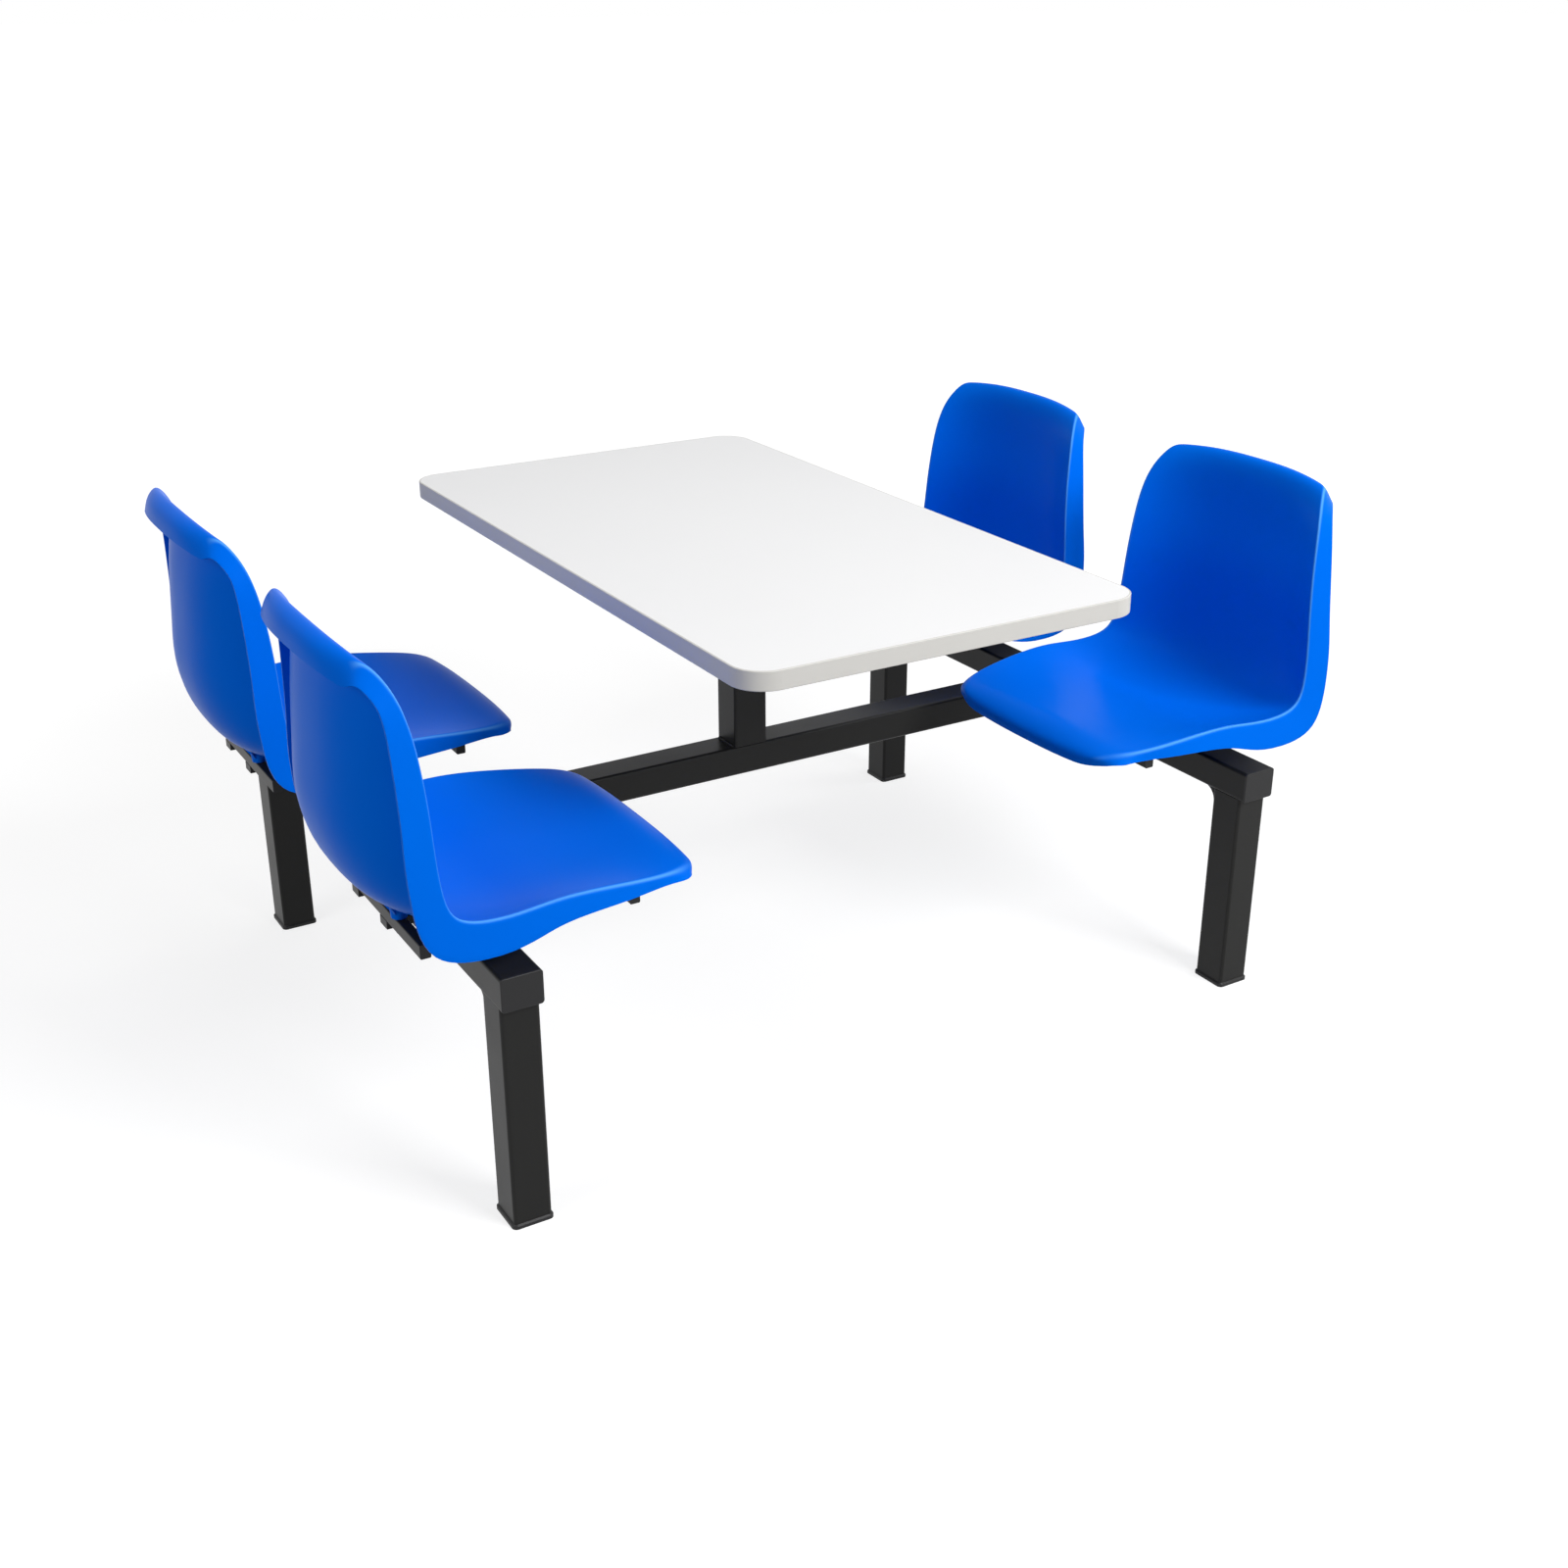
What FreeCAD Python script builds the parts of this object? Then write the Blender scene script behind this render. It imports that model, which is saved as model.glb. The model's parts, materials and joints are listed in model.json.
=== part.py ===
import FreeCAD, Part
import math
import os

# Four-place canteen unit: one table top on a centre post, four swivel shell seats on two
# side beams. Millimetres. X runs from the left seats to the right seats, Y along each seat
# row, Z up. The origin is on the floor at the middle of the unit. "Near" is the -Y end.

# ---------------------------------------------------------------- table top
TABLE_LENGTH = 1180.0          # along Y
TABLE_WIDTH = 655.0            # along X
TABLE_HEIGHT = 750.0           # floor to the laminate's upper face
TABLE_CORNER = 50.0            # plan radius of the four corners
BOARD_THICKNESS = 26.0
LAMINATE_THICKNESS = 1.0       # decorative sheet on top
BACKER_THICKNESS = 1.0         # balancing sheet underneath
EDGE_BAND_THICKNESS = 3.0
EDGE_BAND_ROUND = 1.5          # softened edges of the band

# ---------------------------------------------------------------- post and its top plate
POST_SIZE = 60.0
TUBE_WALL = 2.5
TUBE_CORNER = 5.0              # outside corner radius of every tube
TOP_PLATE_LENGTH = 400.0       # along Y
TOP_PLATE_WIDTH = 260.0        # along X
TOP_PLATE_THICKNESS = 6.0
TOP_PLATE_CORNER = 12.0
TABLE_SCREW_RADIUS = 2.5
TABLE_SCREW_GRIP = 18.0        # length of screw in the board
TABLE_SCREW_HEAD_RADIUS = 5.0
TABLE_SCREW_HEAD_HEIGHT = 3.0
TABLE_SCREW_INSET = 22.0       # from the plate's edges
TABLE_SCREW_ROWS = 3           # along each long side of the plate

# ---------------------------------------------------------------- beams, legs and feet
BEAM_WIDTH = 60.0
BEAM_HEIGHT = 50.0
BEAM_TOP = 392.0               # floor to the top of all three beams
SEAT_BEAM_SPREAD = 1280.0      # between the axes of the two seat beams
SEAT_BEAM_LENGTH = 1096.0      # over its end caps
BEAM_END_OVERHANG = 12.0       # end cap face beyond the leg's face
END_CAP_FLANGE = 3.0
PLUG_DEPTH = 18.0              # how far caps and feet reach into their tubes
PLUG_CLEARANCE = 0.1           # per side, between a plug and its tube
LEG_WIDTH = 56.0               # along X
LEG_DEPTH = 60.0               # along Y
FOOT_HEIGHT = 7.0              # visible part of the foot cap
FOOT_FLARE = 2.5               # foot beyond the leg on each side
FOOT_CHAMFER = 2.2             # on the foot's upper edge, less than the flare
GUSSET_REACH = 24.0            # along the beam and down the leg
GUSSET_WIDTH = 50.0

# ---------------------------------------------------------------- swivel
SEAT_PITCH = 610.0             # between the two swivel axes of one beam
SWIVEL_LIMIT = 25.0            # degrees to each side
SPINDLE_RADIUS = 12.5
SPINDLE_CLEARANCE = 0.05       # radial, in the bushes
BUSH_WALL = 3.0
BUSH_FLANGE_RADIUS = 19.0
BUSH_FLANGE_THICKNESS = 2.0
BUSH_LENGTH = 18.0
HOUSING_WALL = 5.0
HOUSING_RISE = 8.0             # housing above the beam
HOUSING_POCKET = 11.0          # counterbore at the lower end for flange and clip
HOUSING_POCKET_CLEARANCE = 0.4
CLIP_THICKNESS = 1.6
CLIP_WIDTH = 4.0
CLIP_GROOVE_DEPTH = 1.5
CLIP_GAP = 6.0                 # mouth of the open ring
SPINDLE_TIP = 3.0              # spindle below the clip
SPINDLE_CHAMFER = 1.0
OVERCUT = 1.0                  # extra length or width where one solid runs into another
AXIAL_PLAY = 0.3
SWIVEL_PLATE_SIZE = 150.0
SWIVEL_PLATE_THICKNESS = 6.0
SWIVEL_PLATE_CORNER = 10.0
STOP_PIN_RADIUS = 3.0
STOP_PIN_GAP = 2.5             # between the pin and the housing's wall
STOP_BLOCK_LENGTH = 8.0        # round the axis
STOP_BLOCK_HEIGHT = 7.0
STOP_PLAY = 0.4                # pin to block at the end of the swivel
PIN_FLOOR_GAP = 1.5            # pin end above the beam

# ---------------------------------------------------------------- seat carrier
ARM_WIDTH = 25.0
ARM_HEIGHT = 12.0
ARM_SPACING = 110.0            # between the two arms' axes
RAIL_WIDTH = 15.0
RAIL_HEIGHT = 20.0
RAIL_WALL = 1.5
RAIL_CORNER = 2.0
RAIL_LENGTH = 380.0            # over its end plugs
RAIL_PLUG_FLANGE = 2.0
RAIL_PLUG_DEPTH = 12.0
FRONT_RAIL_X = 190.0           # forward of the swivel axis
REAR_RAIL_X = -106.0
BOSS_SPACING = 200.0           # across the seat, between screw axes
BOSS_RADIUS = 11.0
SEAT_SCREW_RADIUS = 3.0
SEAT_SCREW_GRIP = 11.0         # length of screw in the boss
SEAT_SCREW_HEAD_RADIUS = 6.0
SEAT_SCREW_HEAD_HEIGHT = 3.5
SCREW_HOLE_CLEARANCE = 0.2     # radial, in drilled steel
SCREW_PILOT_CLEARANCE = 0.02   # radial, in wood and plastic
SCREW_TIP_CLEARANCE = 2.0      # hole beyond the screw's end

# ---------------------------------------------------------------- moulded seat shell
SHELL_THICKNESS = 4.5
CREASE_BLEND = 7.0             # tangent length of the round between panel and flange
CREASE_FADE = 2.5              # how much wider that round grows where the crease fades out
DISH_POWER = 2.6               # how late the panel curls up towards its sides
# Lines of the shell at sixteen stations, from the front edge back over the pan, up the back
# and over the rolled lip. Each row: middle of the panel forward and up; crease forward, up
# and out; rim of the flange forward, up and out. Forward is measured from the swivel axis,
# up from the top of the rails and out from the middle of the seat.
SHELL_STATIONS = [
    (298, -10, 292, -10, 150, 279, -5, 190),
    (297, 8, 288, 7, 170, 273, -3, 199),
    (274, 23, 273, 16, 190, 262, 1, 208),
    (235, 25, 236, 22, 209, 232, 7, 213),
    (172, 18, 172, 31, 222, 169, 8, 226),
    (60, 4, 62, 39, 230, 58, 1, 236),
    (-45, 0, -34, 36, 233, -44, -15, 240),
    (-128, 22, -74, 50, 232, -110, 6, 239),
    (-167, 86, -88, 92, 229, -133, 78, 235),
    (-172, 180, -92, 170, 222, -135, 168, 227),
    (-164, 272, -98, 256, 213, -136, 257, 216),
    (-153, 334, -110, 320, 203, -140, 317, 205),
    (-150, 374, -130, 363, 182, -152, 341, 189),
    (-163, 389, -154, 380, 163, -164, 352, 174),
    (-181, 379, -175, 369, 151, -173, 352, 162),
    (-187, 356, -184, 351, 143, -179, 350, 153),
]
BLEND_SHARE = 0.6              # of the flange that the blend may take up
ROWS_PER_STATION = 2
PANEL_STEPS = 7                # from the middle of the panel to the crease blend
PANEL_CROWDING = 1.5           # crowds the panel's points towards the crease
FLANGE_STEPS = 2
BOSS_BLANK = 150.0             # raw height of a boss before the panel trims it

# ---------------------------------------------------------------- derived heights
TOP_THICKNESS = LAMINATE_THICKNESS + BOARD_THICKNESS + BACKER_THICKNESS
TABLE_UNDERSIDE = TABLE_HEIGHT - TOP_THICKNESS
TOP_PLATE_UNDERSIDE = TABLE_UNDERSIDE - TOP_PLATE_THICKNESS
BEAM_BOTTOM = BEAM_TOP - BEAM_HEIGHT
BEAM_X = SEAT_BEAM_SPREAD / 2
LEG_Y = SEAT_BEAM_LENGTH / 2 - BEAM_END_OVERHANG - LEG_DEPTH / 2
SEAT_Y = SEAT_PITCH / 2
BUSH_RADIUS = SPINDLE_RADIUS + SPINDLE_CLEARANCE + BUSH_WALL
HOUSING_RADIUS = BUSH_RADIUS + HOUSING_WALL
HOUSING_TOP = BEAM_TOP + HOUSING_RISE
PLATE_BOTTOM = HOUSING_TOP + BUSH_FLANGE_THICKNESS + AXIAL_PLAY
ARM_BOTTOM = PLATE_BOTTOM + SWIVEL_PLATE_THICKNESS
RAIL_BOTTOM = ARM_BOTTOM + ARM_HEIGHT
RAIL_TOP = RAIL_BOTTOM + RAIL_HEIGHT
POCKET_TOP = BEAM_BOTTOM + HOUSING_POCKET
CLIP_TOP = POCKET_TOP - BUSH_FLANGE_THICKNESS - AXIAL_PLAY
SPINDLE_BOTTOM = CLIP_TOP - CLIP_THICKNESS - SPINDLE_TIP

UP = FreeCAD.Vector(0, 0, 1)
CUBIC = 3                      # degree of the shell's surfaces
EDGE_TOLERANCE = 0.01          # when edges are picked by their place
TANGENT_STEP = 0.0005          # share of the shell's length used to measure its direction
SIDES = {"left": -1, "right": 1}
ENDS = {"near": -1, "far": 1}


def export(shape, node):
    shape.exportStep("parts/" + node + ".step")


def moved(shape, x=0.0, y=0.0, z=0.0):
    copy = shape.copy()
    copy.translate(FreeCAD.Vector(x, y, z))
    return copy


def turned(shape, degrees):
    copy = shape.copy()
    copy.rotate(FreeCAD.Vector(0, 0, 0), UP, degrees)
    return copy


def block(size_x, size_y, size_z, corner=0.0):
    """A block standing on Z = 0, centred in X and Y, with rounded upright corners."""
    solid = Part.makeBox(size_x, size_y, size_z, FreeCAD.Vector(-size_x / 2, -size_y / 2, 0))
    if corner > 0:
        upright = [e for e in solid.Edges if abs(e.tangentAt(e.FirstParameter).z) > 0.99]
        solid = solid.makeFillet(corner, upright)
    return solid


def rod(radius, length, x=0.0, y=0.0, z=0.0):
    return Part.makeCylinder(radius, length, FreeCAD.Vector(x, y, z), UP)


def ring(outer, inner, length, z=0.0):
    return rod(outer, length, z=z).cut(rod(inner, length, z=z))


def tube(size_x, size_y, length, wall, corner):
    """An upright rectangular tube standing on Z = 0."""
    hollow = block(size_x - 2 * wall, size_y - 2 * wall, length, max(corner - wall, 0.2))
    return block(size_x, size_y, length, corner).cut(hollow)


def plug(size_x, size_y, wall, corner, depth):
    """The part of a cap or foot that fills the end of a tube."""
    play = 2 * (wall + PLUG_CLEARANCE)
    return block(size_x - play, size_y - play, depth, max(corner - wall, 0.2))


def laid(shape, direction):
    """Turns an upright shape so that its Z axis points along the given direction."""
    copy = shape.copy()
    turn = FreeCAD.Rotation(UP, direction)
    copy.Placement = FreeCAD.Placement(FreeCAD.Vector(0, 0, 0), turn)
    return copy


# ---------------------------------------------------------------- table
def table_screw_places():
    side = TOP_PLATE_WIDTH / 2 - TABLE_SCREW_INSET
    span = TOP_PLATE_LENGTH - 2 * TABLE_SCREW_INSET
    step = span / (TABLE_SCREW_ROWS - 1)
    return [(x, -span / 2 + row * step) for x in (-side, side) for row in range(TABLE_SCREW_ROWS)]


def table_sheet(thickness, bottom):
    inset = 2 * EDGE_BAND_THICKNESS
    corner = TABLE_CORNER - EDGE_BAND_THICKNESS
    return moved(block(TABLE_WIDTH - inset, TABLE_LENGTH - inset, thickness, corner), z=bottom)


def build_table():
    pilot = TABLE_SCREW_RADIUS + SCREW_PILOT_CLEARANCE
    pilot_top = TABLE_UNDERSIDE + TABLE_SCREW_GRIP + SCREW_TIP_CLEARANCE
    board_bottom = TABLE_UNDERSIDE + BACKER_THICKNESS
    board = table_sheet(BOARD_THICKNESS, board_bottom)
    backer = table_sheet(BACKER_THICKNESS, TABLE_UNDERSIDE)
    for x, y in table_screw_places():
        hole = rod(pilot, pilot_top - TABLE_UNDERSIDE, x, y, TABLE_UNDERSIDE)
        board = board.cut(hole)
        backer = backer.cut(hole)
    export(board, "table_board")
    export(backer, "table_backer")
    export(table_sheet(LAMINATE_THICKNESS, TABLE_HEIGHT - LAMINATE_THICKNESS), "table_laminate")

    band = moved(block(TABLE_WIDTH, TABLE_LENGTH, TOP_THICKNESS, TABLE_CORNER), z=TABLE_UNDERSIDE)
    level = [e for e in band.Edges if e.BoundBox.ZLength < EDGE_TOLERANCE]
    band = band.makeFillet(EDGE_BAND_ROUND, level)
    export(band.cut(table_sheet(TOP_THICKNESS, TABLE_UNDERSIDE)), "table_edge_band")


def build_post():
    plate = block(TOP_PLATE_WIDTH, TOP_PLATE_LENGTH, TOP_PLATE_THICKNESS, TOP_PLATE_CORNER)
    plate = moved(plate, z=TOP_PLATE_UNDERSIDE)
    screws = []
    for x, y in table_screw_places():
        hole = TABLE_SCREW_RADIUS + SCREW_HOLE_CLEARANCE
        plate = plate.cut(rod(hole, TOP_PLATE_THICKNESS, x, y, TOP_PLATE_UNDERSIDE))
        shank = rod(TABLE_SCREW_RADIUS, TOP_PLATE_THICKNESS + TABLE_SCREW_GRIP, x, y,
                    TOP_PLATE_UNDERSIDE)
        head = rod(TABLE_SCREW_HEAD_RADIUS, TABLE_SCREW_HEAD_HEIGHT, x, y,
                   TOP_PLATE_UNDERSIDE - TABLE_SCREW_HEAD_HEIGHT)
        screws.append(shank.fuse(head))
    export(plate, "top_plate")
    export(Part.makeCompound(screws), "table_screws")
    post = tube(POST_SIZE, POST_SIZE, TOP_PLATE_UNDERSIDE - BEAM_TOP, TUBE_WALL, TUBE_CORNER)
    export(moved(post, z=BEAM_TOP), "centre_post")


# ---------------------------------------------------------------- frame
def build_beams():
    span = SEAT_BEAM_SPREAD - BEAM_WIDTH
    middle = (BEAM_TOP + BEAM_BOTTOM) / 2
    cross = tube(BEAM_HEIGHT, BEAM_WIDTH, span, TUBE_WALL, TUBE_CORNER)
    cross = laid(cross, FreeCAD.Vector(1, 0, 0))
    export(moved(cross, x=-span / 2, z=middle), "main_beam")

    length = SEAT_BEAM_LENGTH - 2 * END_CAP_FLANGE
    beam = tube(BEAM_WIDTH, BEAM_HEIGHT, length, TUBE_WALL, TUBE_CORNER)
    beam = moved(laid(beam, FreeCAD.Vector(0, 1, 0)), y=-length / 2, z=middle)
    for end in ENDS.values():
        beam = beam.cut(rod(HOUSING_RADIUS, BEAM_HEIGHT, 0, end * SEAT_Y, BEAM_BOTTOM))

    flange = block(BEAM_WIDTH, BEAM_HEIGHT, END_CAP_FLANGE, TUBE_CORNER)
    rim = [e for e in flange.Edges if e.BoundBox.ZMin > END_CAP_FLANGE - EDGE_TOLERANCE]
    flange = flange.makeFillet(END_CAP_FLANGE / 2, rim)
    cap = flange.fuse(moved(plug(BEAM_WIDTH, BEAM_HEIGHT, TUBE_WALL, TUBE_CORNER, PLUG_DEPTH),
                            z=-PLUG_DEPTH))
    caps = []
    for side, x in SIDES.items():
        export(moved(beam, x=x * BEAM_X), side + "_seat_beam")
        for y in ENDS.values():
            placed = laid(cap, FreeCAD.Vector(0, y, 0))
            caps.append(moved(placed, x * BEAM_X, y * length / 2, middle))
    export(Part.makeCompound(caps), "beam_end_caps")


def build_legs():
    leg = tube(LEG_WIDTH, LEG_DEPTH, BEAM_BOTTOM - FOOT_HEIGHT, TUBE_WALL, TUBE_CORNER)
    foot = block(LEG_WIDTH + 2 * FOOT_FLARE, LEG_DEPTH + 2 * FOOT_FLARE, FOOT_HEIGHT,
                 TUBE_CORNER + FOOT_FLARE)
    shoulder = [e for e in foot.Edges if e.BoundBox.ZMin > FOOT_HEIGHT - EDGE_TOLERANCE]
    foot = foot.makeChamfer(FOOT_CHAMFER, shoulder)
    foot = foot.fuse(moved(plug(LEG_WIDTH, LEG_DEPTH, TUBE_WALL, TUBE_CORNER, PLUG_DEPTH),
                           z=FOOT_HEIGHT))
    # Corner piece with a hollow curved face between the leg and the beam's underside.
    corner = FreeCAD.Vector(0, 0, 0)
    along = FreeCAD.Vector(0, GUSSET_REACH, 0)
    down = FreeCAD.Vector(0, 0, -GUSSET_REACH)
    sag = GUSSET_REACH * (1 - math.sqrt(0.5))
    arc = Part.Arc(along, FreeCAD.Vector(0, sag, -sag), down).toShape()
    outline = Part.Wire([Part.makeLine(corner, along), arc, Part.makeLine(down, corner)])
    gusset = Part.Face(outline).extrude(FreeCAD.Vector(GUSSET_WIDTH, 0, 0))
    gusset = moved(gusset, x=-GUSSET_WIDTH / 2, y=LEG_DEPTH / 2)
    gussets = []
    for side, x in SIDES.items():
        for end, y in ENDS.items():
            export(moved(leg, x * BEAM_X, y * LEG_Y, FOOT_HEIGHT), end + "_" + side + "_leg")
            export(moved(foot, x * BEAM_X, y * LEG_Y), end + "_" + side + "_foot")
            inward = gusset if y < 0 else turned(gusset, 180)
            gussets.append(moved(inward, x * BEAM_X, y * LEG_Y, BEAM_BOTTOM))
    export(Part.makeCompound(gussets), "leg_gussets")


# ---------------------------------------------------------------- swivel, about its own axis
def stop_radius():
    return HOUSING_RADIUS + STOP_PIN_GAP + STOP_PIN_RADIUS


def swivel_housing():
    height = HOUSING_TOP - BEAM_BOTTOM
    body = ring(HOUSING_RADIUS, BUSH_RADIUS, height, BEAM_BOTTOM)
    pocket = BUSH_FLANGE_RADIUS + HOUSING_POCKET_CLEARANCE
    return body.cut(rod(pocket, HOUSING_POCKET, z=BEAM_BOTTOM))


def swivel_bushes():
    inner = SPINDLE_RADIUS + SPINDLE_CLEARANCE
    sleeve = ring(BUSH_RADIUS, inner, BUSH_LENGTH)
    flange = ring(BUSH_FLANGE_RADIUS, inner, BUSH_FLANGE_THICKNESS)
    upper = moved(sleeve, z=HOUSING_TOP - BUSH_LENGTH).fuse(moved(flange, z=HOUSING_TOP))
    lower = moved(sleeve, z=POCKET_TOP)
    lower = lower.fuse(moved(flange, z=POCKET_TOP - BUSH_FLANGE_THICKNESS))
    return [upper, lower]


def swivel_stops():
    """Two blocks on the beam that the plate's pin meets at the ends of the swivel."""
    reach = stop_radius()
    half = math.degrees((STOP_PIN_RADIUS + STOP_PLAY + STOP_BLOCK_LENGTH / 2) / reach)
    blocks = []
    for way in (-1, 1):
        stop = block(2 * STOP_PIN_RADIUS, STOP_BLOCK_LENGTH, STOP_BLOCK_HEIGHT)
        stop = turned(moved(stop, x=reach, z=BEAM_TOP), 90 + way * (SWIVEL_LIMIT + half))
        blocks.append(stop)
    return blocks


def swivel_plate():
    plate = block(SWIVEL_PLATE_SIZE, SWIVEL_PLATE_SIZE, SWIVEL_PLATE_THICKNESS,
                  SWIVEL_PLATE_CORNER)
    plate = moved(plate, z=PLATE_BOTTOM)
    plate = plate.cut(rod(SPINDLE_RADIUS, SWIVEL_PLATE_THICKNESS, z=PLATE_BOTTOM))
    pin_bottom = BEAM_TOP + PIN_FLOOR_GAP
    pin = rod(STOP_PIN_RADIUS, PLATE_BOTTOM - pin_bottom + OVERCUT, 0, stop_radius(), pin_bottom)
    return plate.fuse(pin)


def spindle():
    body = rod(SPINDLE_RADIUS, ARM_BOTTOM - SPINDLE_BOTTOM, z=SPINDLE_BOTTOM)
    groove = ring(SPINDLE_RADIUS + OVERCUT, SPINDLE_RADIUS - CLIP_GROOVE_DEPTH, CLIP_THICKNESS,
                  CLIP_TOP - CLIP_THICKNESS)
    tip = [e for e in body.Edges if e.BoundBox.ZMax < SPINDLE_BOTTOM + EDGE_TOLERANCE]
    return body.makeChamfer(SPINDLE_CHAMFER, tip).cut(groove)


def spindle_clip():
    inner = SPINDLE_RADIUS - CLIP_GROOVE_DEPTH
    clip = ring(inner + CLIP_WIDTH, inner, CLIP_THICKNESS, CLIP_TOP - CLIP_THICKNESS)
    mouth = block(2 * (inner + CLIP_WIDTH), CLIP_GAP, CLIP_THICKNESS)
    return clip.cut(moved(mouth, x=inner + CLIP_WIDTH, z=CLIP_TOP - CLIP_THICKNESS))


# ---------------------------------------------------------------- seat carrier
def screw_places():
    return [(x, y * BOSS_SPACING / 2) for x in (REAR_RAIL_X, FRONT_RAIL_X) for y in (-1, 1)]


def carrier_arms():
    length = FRONT_RAIL_X - REAR_RAIL_X + RAIL_WIDTH
    arm = block(length, ARM_WIDTH, ARM_HEIGHT)
    middle = (FRONT_RAIL_X + REAR_RAIL_X) / 2
    return [moved(arm, middle, y * ARM_SPACING / 2, ARM_BOTTOM) for y in (-1, 1)]


def seat_rails():
    length = RAIL_LENGTH - 2 * RAIL_PLUG_FLANGE
    rail = laid(tube(RAIL_WIDTH, RAIL_HEIGHT, length, RAIL_WALL, RAIL_CORNER),
                FreeCAD.Vector(0, 1, 0))
    rail = moved(rail, y=-length / 2, z=RAIL_BOTTOM + RAIL_HEIGHT / 2)
    hole = SEAT_SCREW_RADIUS + SCREW_HOLE_CLEARANCE
    for y in (-1, 1):
        rail = rail.cut(rod(hole, RAIL_HEIGHT, 0, y * BOSS_SPACING / 2, RAIL_BOTTOM))
    return [moved(rail, x=x) for x in (REAR_RAIL_X, FRONT_RAIL_X)]


def rail_plugs():
    flange = block(RAIL_WIDTH, RAIL_HEIGHT, RAIL_PLUG_FLANGE, RAIL_CORNER)
    stem = plug(RAIL_WIDTH, RAIL_HEIGHT, RAIL_WALL, RAIL_CORNER, RAIL_PLUG_DEPTH)
    cap = flange.fuse(moved(stem, z=-RAIL_PLUG_DEPTH))
    reach = RAIL_LENGTH / 2 - RAIL_PLUG_FLANGE
    middle = RAIL_BOTTOM + RAIL_HEIGHT / 2
    return [moved(laid(cap, FreeCAD.Vector(0, y, 0)), x, y * reach, middle)
            for x in (REAR_RAIL_X, FRONT_RAIL_X) for y in (-1, 1)]


def seat_screws():
    screws = []
    for x, y in screw_places():
        shank = rod(SEAT_SCREW_RADIUS, RAIL_HEIGHT + SEAT_SCREW_GRIP, x, y, RAIL_BOTTOM)
        head = rod(SEAT_SCREW_HEAD_RADIUS, SEAT_SCREW_HEAD_HEIGHT, x, y,
                   RAIL_BOTTOM - SEAT_SCREW_HEAD_HEIGHT)
        screws.append(shank.fuse(head))
    return screws


# ---------------------------------------------------------------- seat shell
def spline(knots, values):
    """Natural cubic spline through the values; returns a function of the knot variable."""
    n = len(knots)
    gap = [knots[i + 1] - knots[i] for i in range(n - 1)]
    bend = [0.0] * n
    diagonal = [1.0] * n
    right = [0.0] * n
    for i in range(1, n - 1):
        rise = (values[i + 1] - values[i]) / gap[i] - (values[i] - values[i - 1]) / gap[i - 1]
        factor = gap[i - 1] / diagonal[i - 1] if i > 1 else 0.0
        diagonal[i] = 2 * (gap[i - 1] + gap[i]) - factor * (gap[i - 1] if i > 1 else 0.0)
        right[i] = 6 * rise - factor * right[i - 1]
    for i in range(n - 2, 0, -1):
        bend[i] = (right[i] - gap[i] * bend[i + 1]) / diagonal[i]

    def value(t):
        i = max(k for k in range(n - 1) if t >= knots[k] or k == 0)
        a = (knots[i + 1] - t) / gap[i]
        b = 1 - a
        curve = (a ** 3 - a) * bend[i] + (b ** 3 - b) * bend[i + 1]
        return a * values[i] + b * values[i + 1] + curve * gap[i] ** 2 / 6

    return value


def shell_lines():
    """Splines of the station columns over the length along the crease."""
    creases = [row[2:5] for row in SHELL_STATIONS]
    knots = [0.0]
    for before, after in zip(creases, creases[1:]):
        knots.append(knots[-1] + math.dist(before, after))
    return knots, [spline(knots, column) for column in zip(*SHELL_STATIONS)]


def guides(lines, t):
    """Middle of the panel, crease and rim at one place along the shell."""
    xm, zm, xc, zc, yc, xr, zr, yr = [line(t) for line in lines]
    return FreeCAD.Vector(xm, 0, zm), FreeCAD.Vector(xc, yc, zc), FreeCAD.Vector(xr, yr, zr)


def section(lines, t, span, inside):
    """Half of one cross-section, from the middle of the panel to the flange's rim.

    With inside true the points lie on the hidden face, one thickness behind the sitter's.
    """
    step = span * TANGENT_STEP
    middle, crease, rim = guides(lines, t)
    middle_run, crease_run, rim_run = [
        after - before for before, after in zip(guides(lines, t - step), guides(lines, t + step))]
    middle_run.normalize()
    away = FreeCAD.Vector(-middle_run.z, 0, middle_run.x)
    inward = (crease_run + rim_run).cross(rim - crease).normalize()
    alike = away.dot(inward)
    blend = CREASE_BLEND * (1 + CREASE_FADE * alike ** 2)
    if inside:
        middle = middle + away * SHELL_THICKNESS
        crease = crease + (away + inward) * (SHELL_THICKNESS / (1 + alike))
        rim = rim + inward * SHELL_THICKNESS
        blend = blend - SHELL_THICKNESS * math.sqrt((1 - alike) / (1 + alike))
    half = crease.y
    outward = FreeCAD.Vector(0, 1, 0)
    lift = FreeCAD.Vector(crease.x - middle.x, 0, crease.z - middle.z)
    blend = min(blend, BLEND_SHARE * (rim - crease).Length)

    def panel(a):
        return middle + outward * (half * a) + lift * (a ** DISH_POWER)

    edge = 1 - blend / half
    points = []
    for i in range(PANEL_STEPS + 1):
        a = i / PANEL_STEPS
        points.append(panel(edge * (1 - (1 - a) ** PANEL_CROWDING)))
    points.append(crease)
    finish = crease + (rim - crease).normalize() * blend
    for i in range(FLANGE_STEPS + 1):
        points.append(finish + (rim - finish) * (i / FLANGE_STEPS))
    return points


def full_section(lines, t, span, inside):
    half = section(lines, t, span, inside)
    mirrored = [FreeCAD.Vector(p.x, -p.y, p.z) for p in reversed(half[1:])]
    return [p + FreeCAD.Vector(0, 0, RAIL_TOP) for p in mirrored + half]


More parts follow.
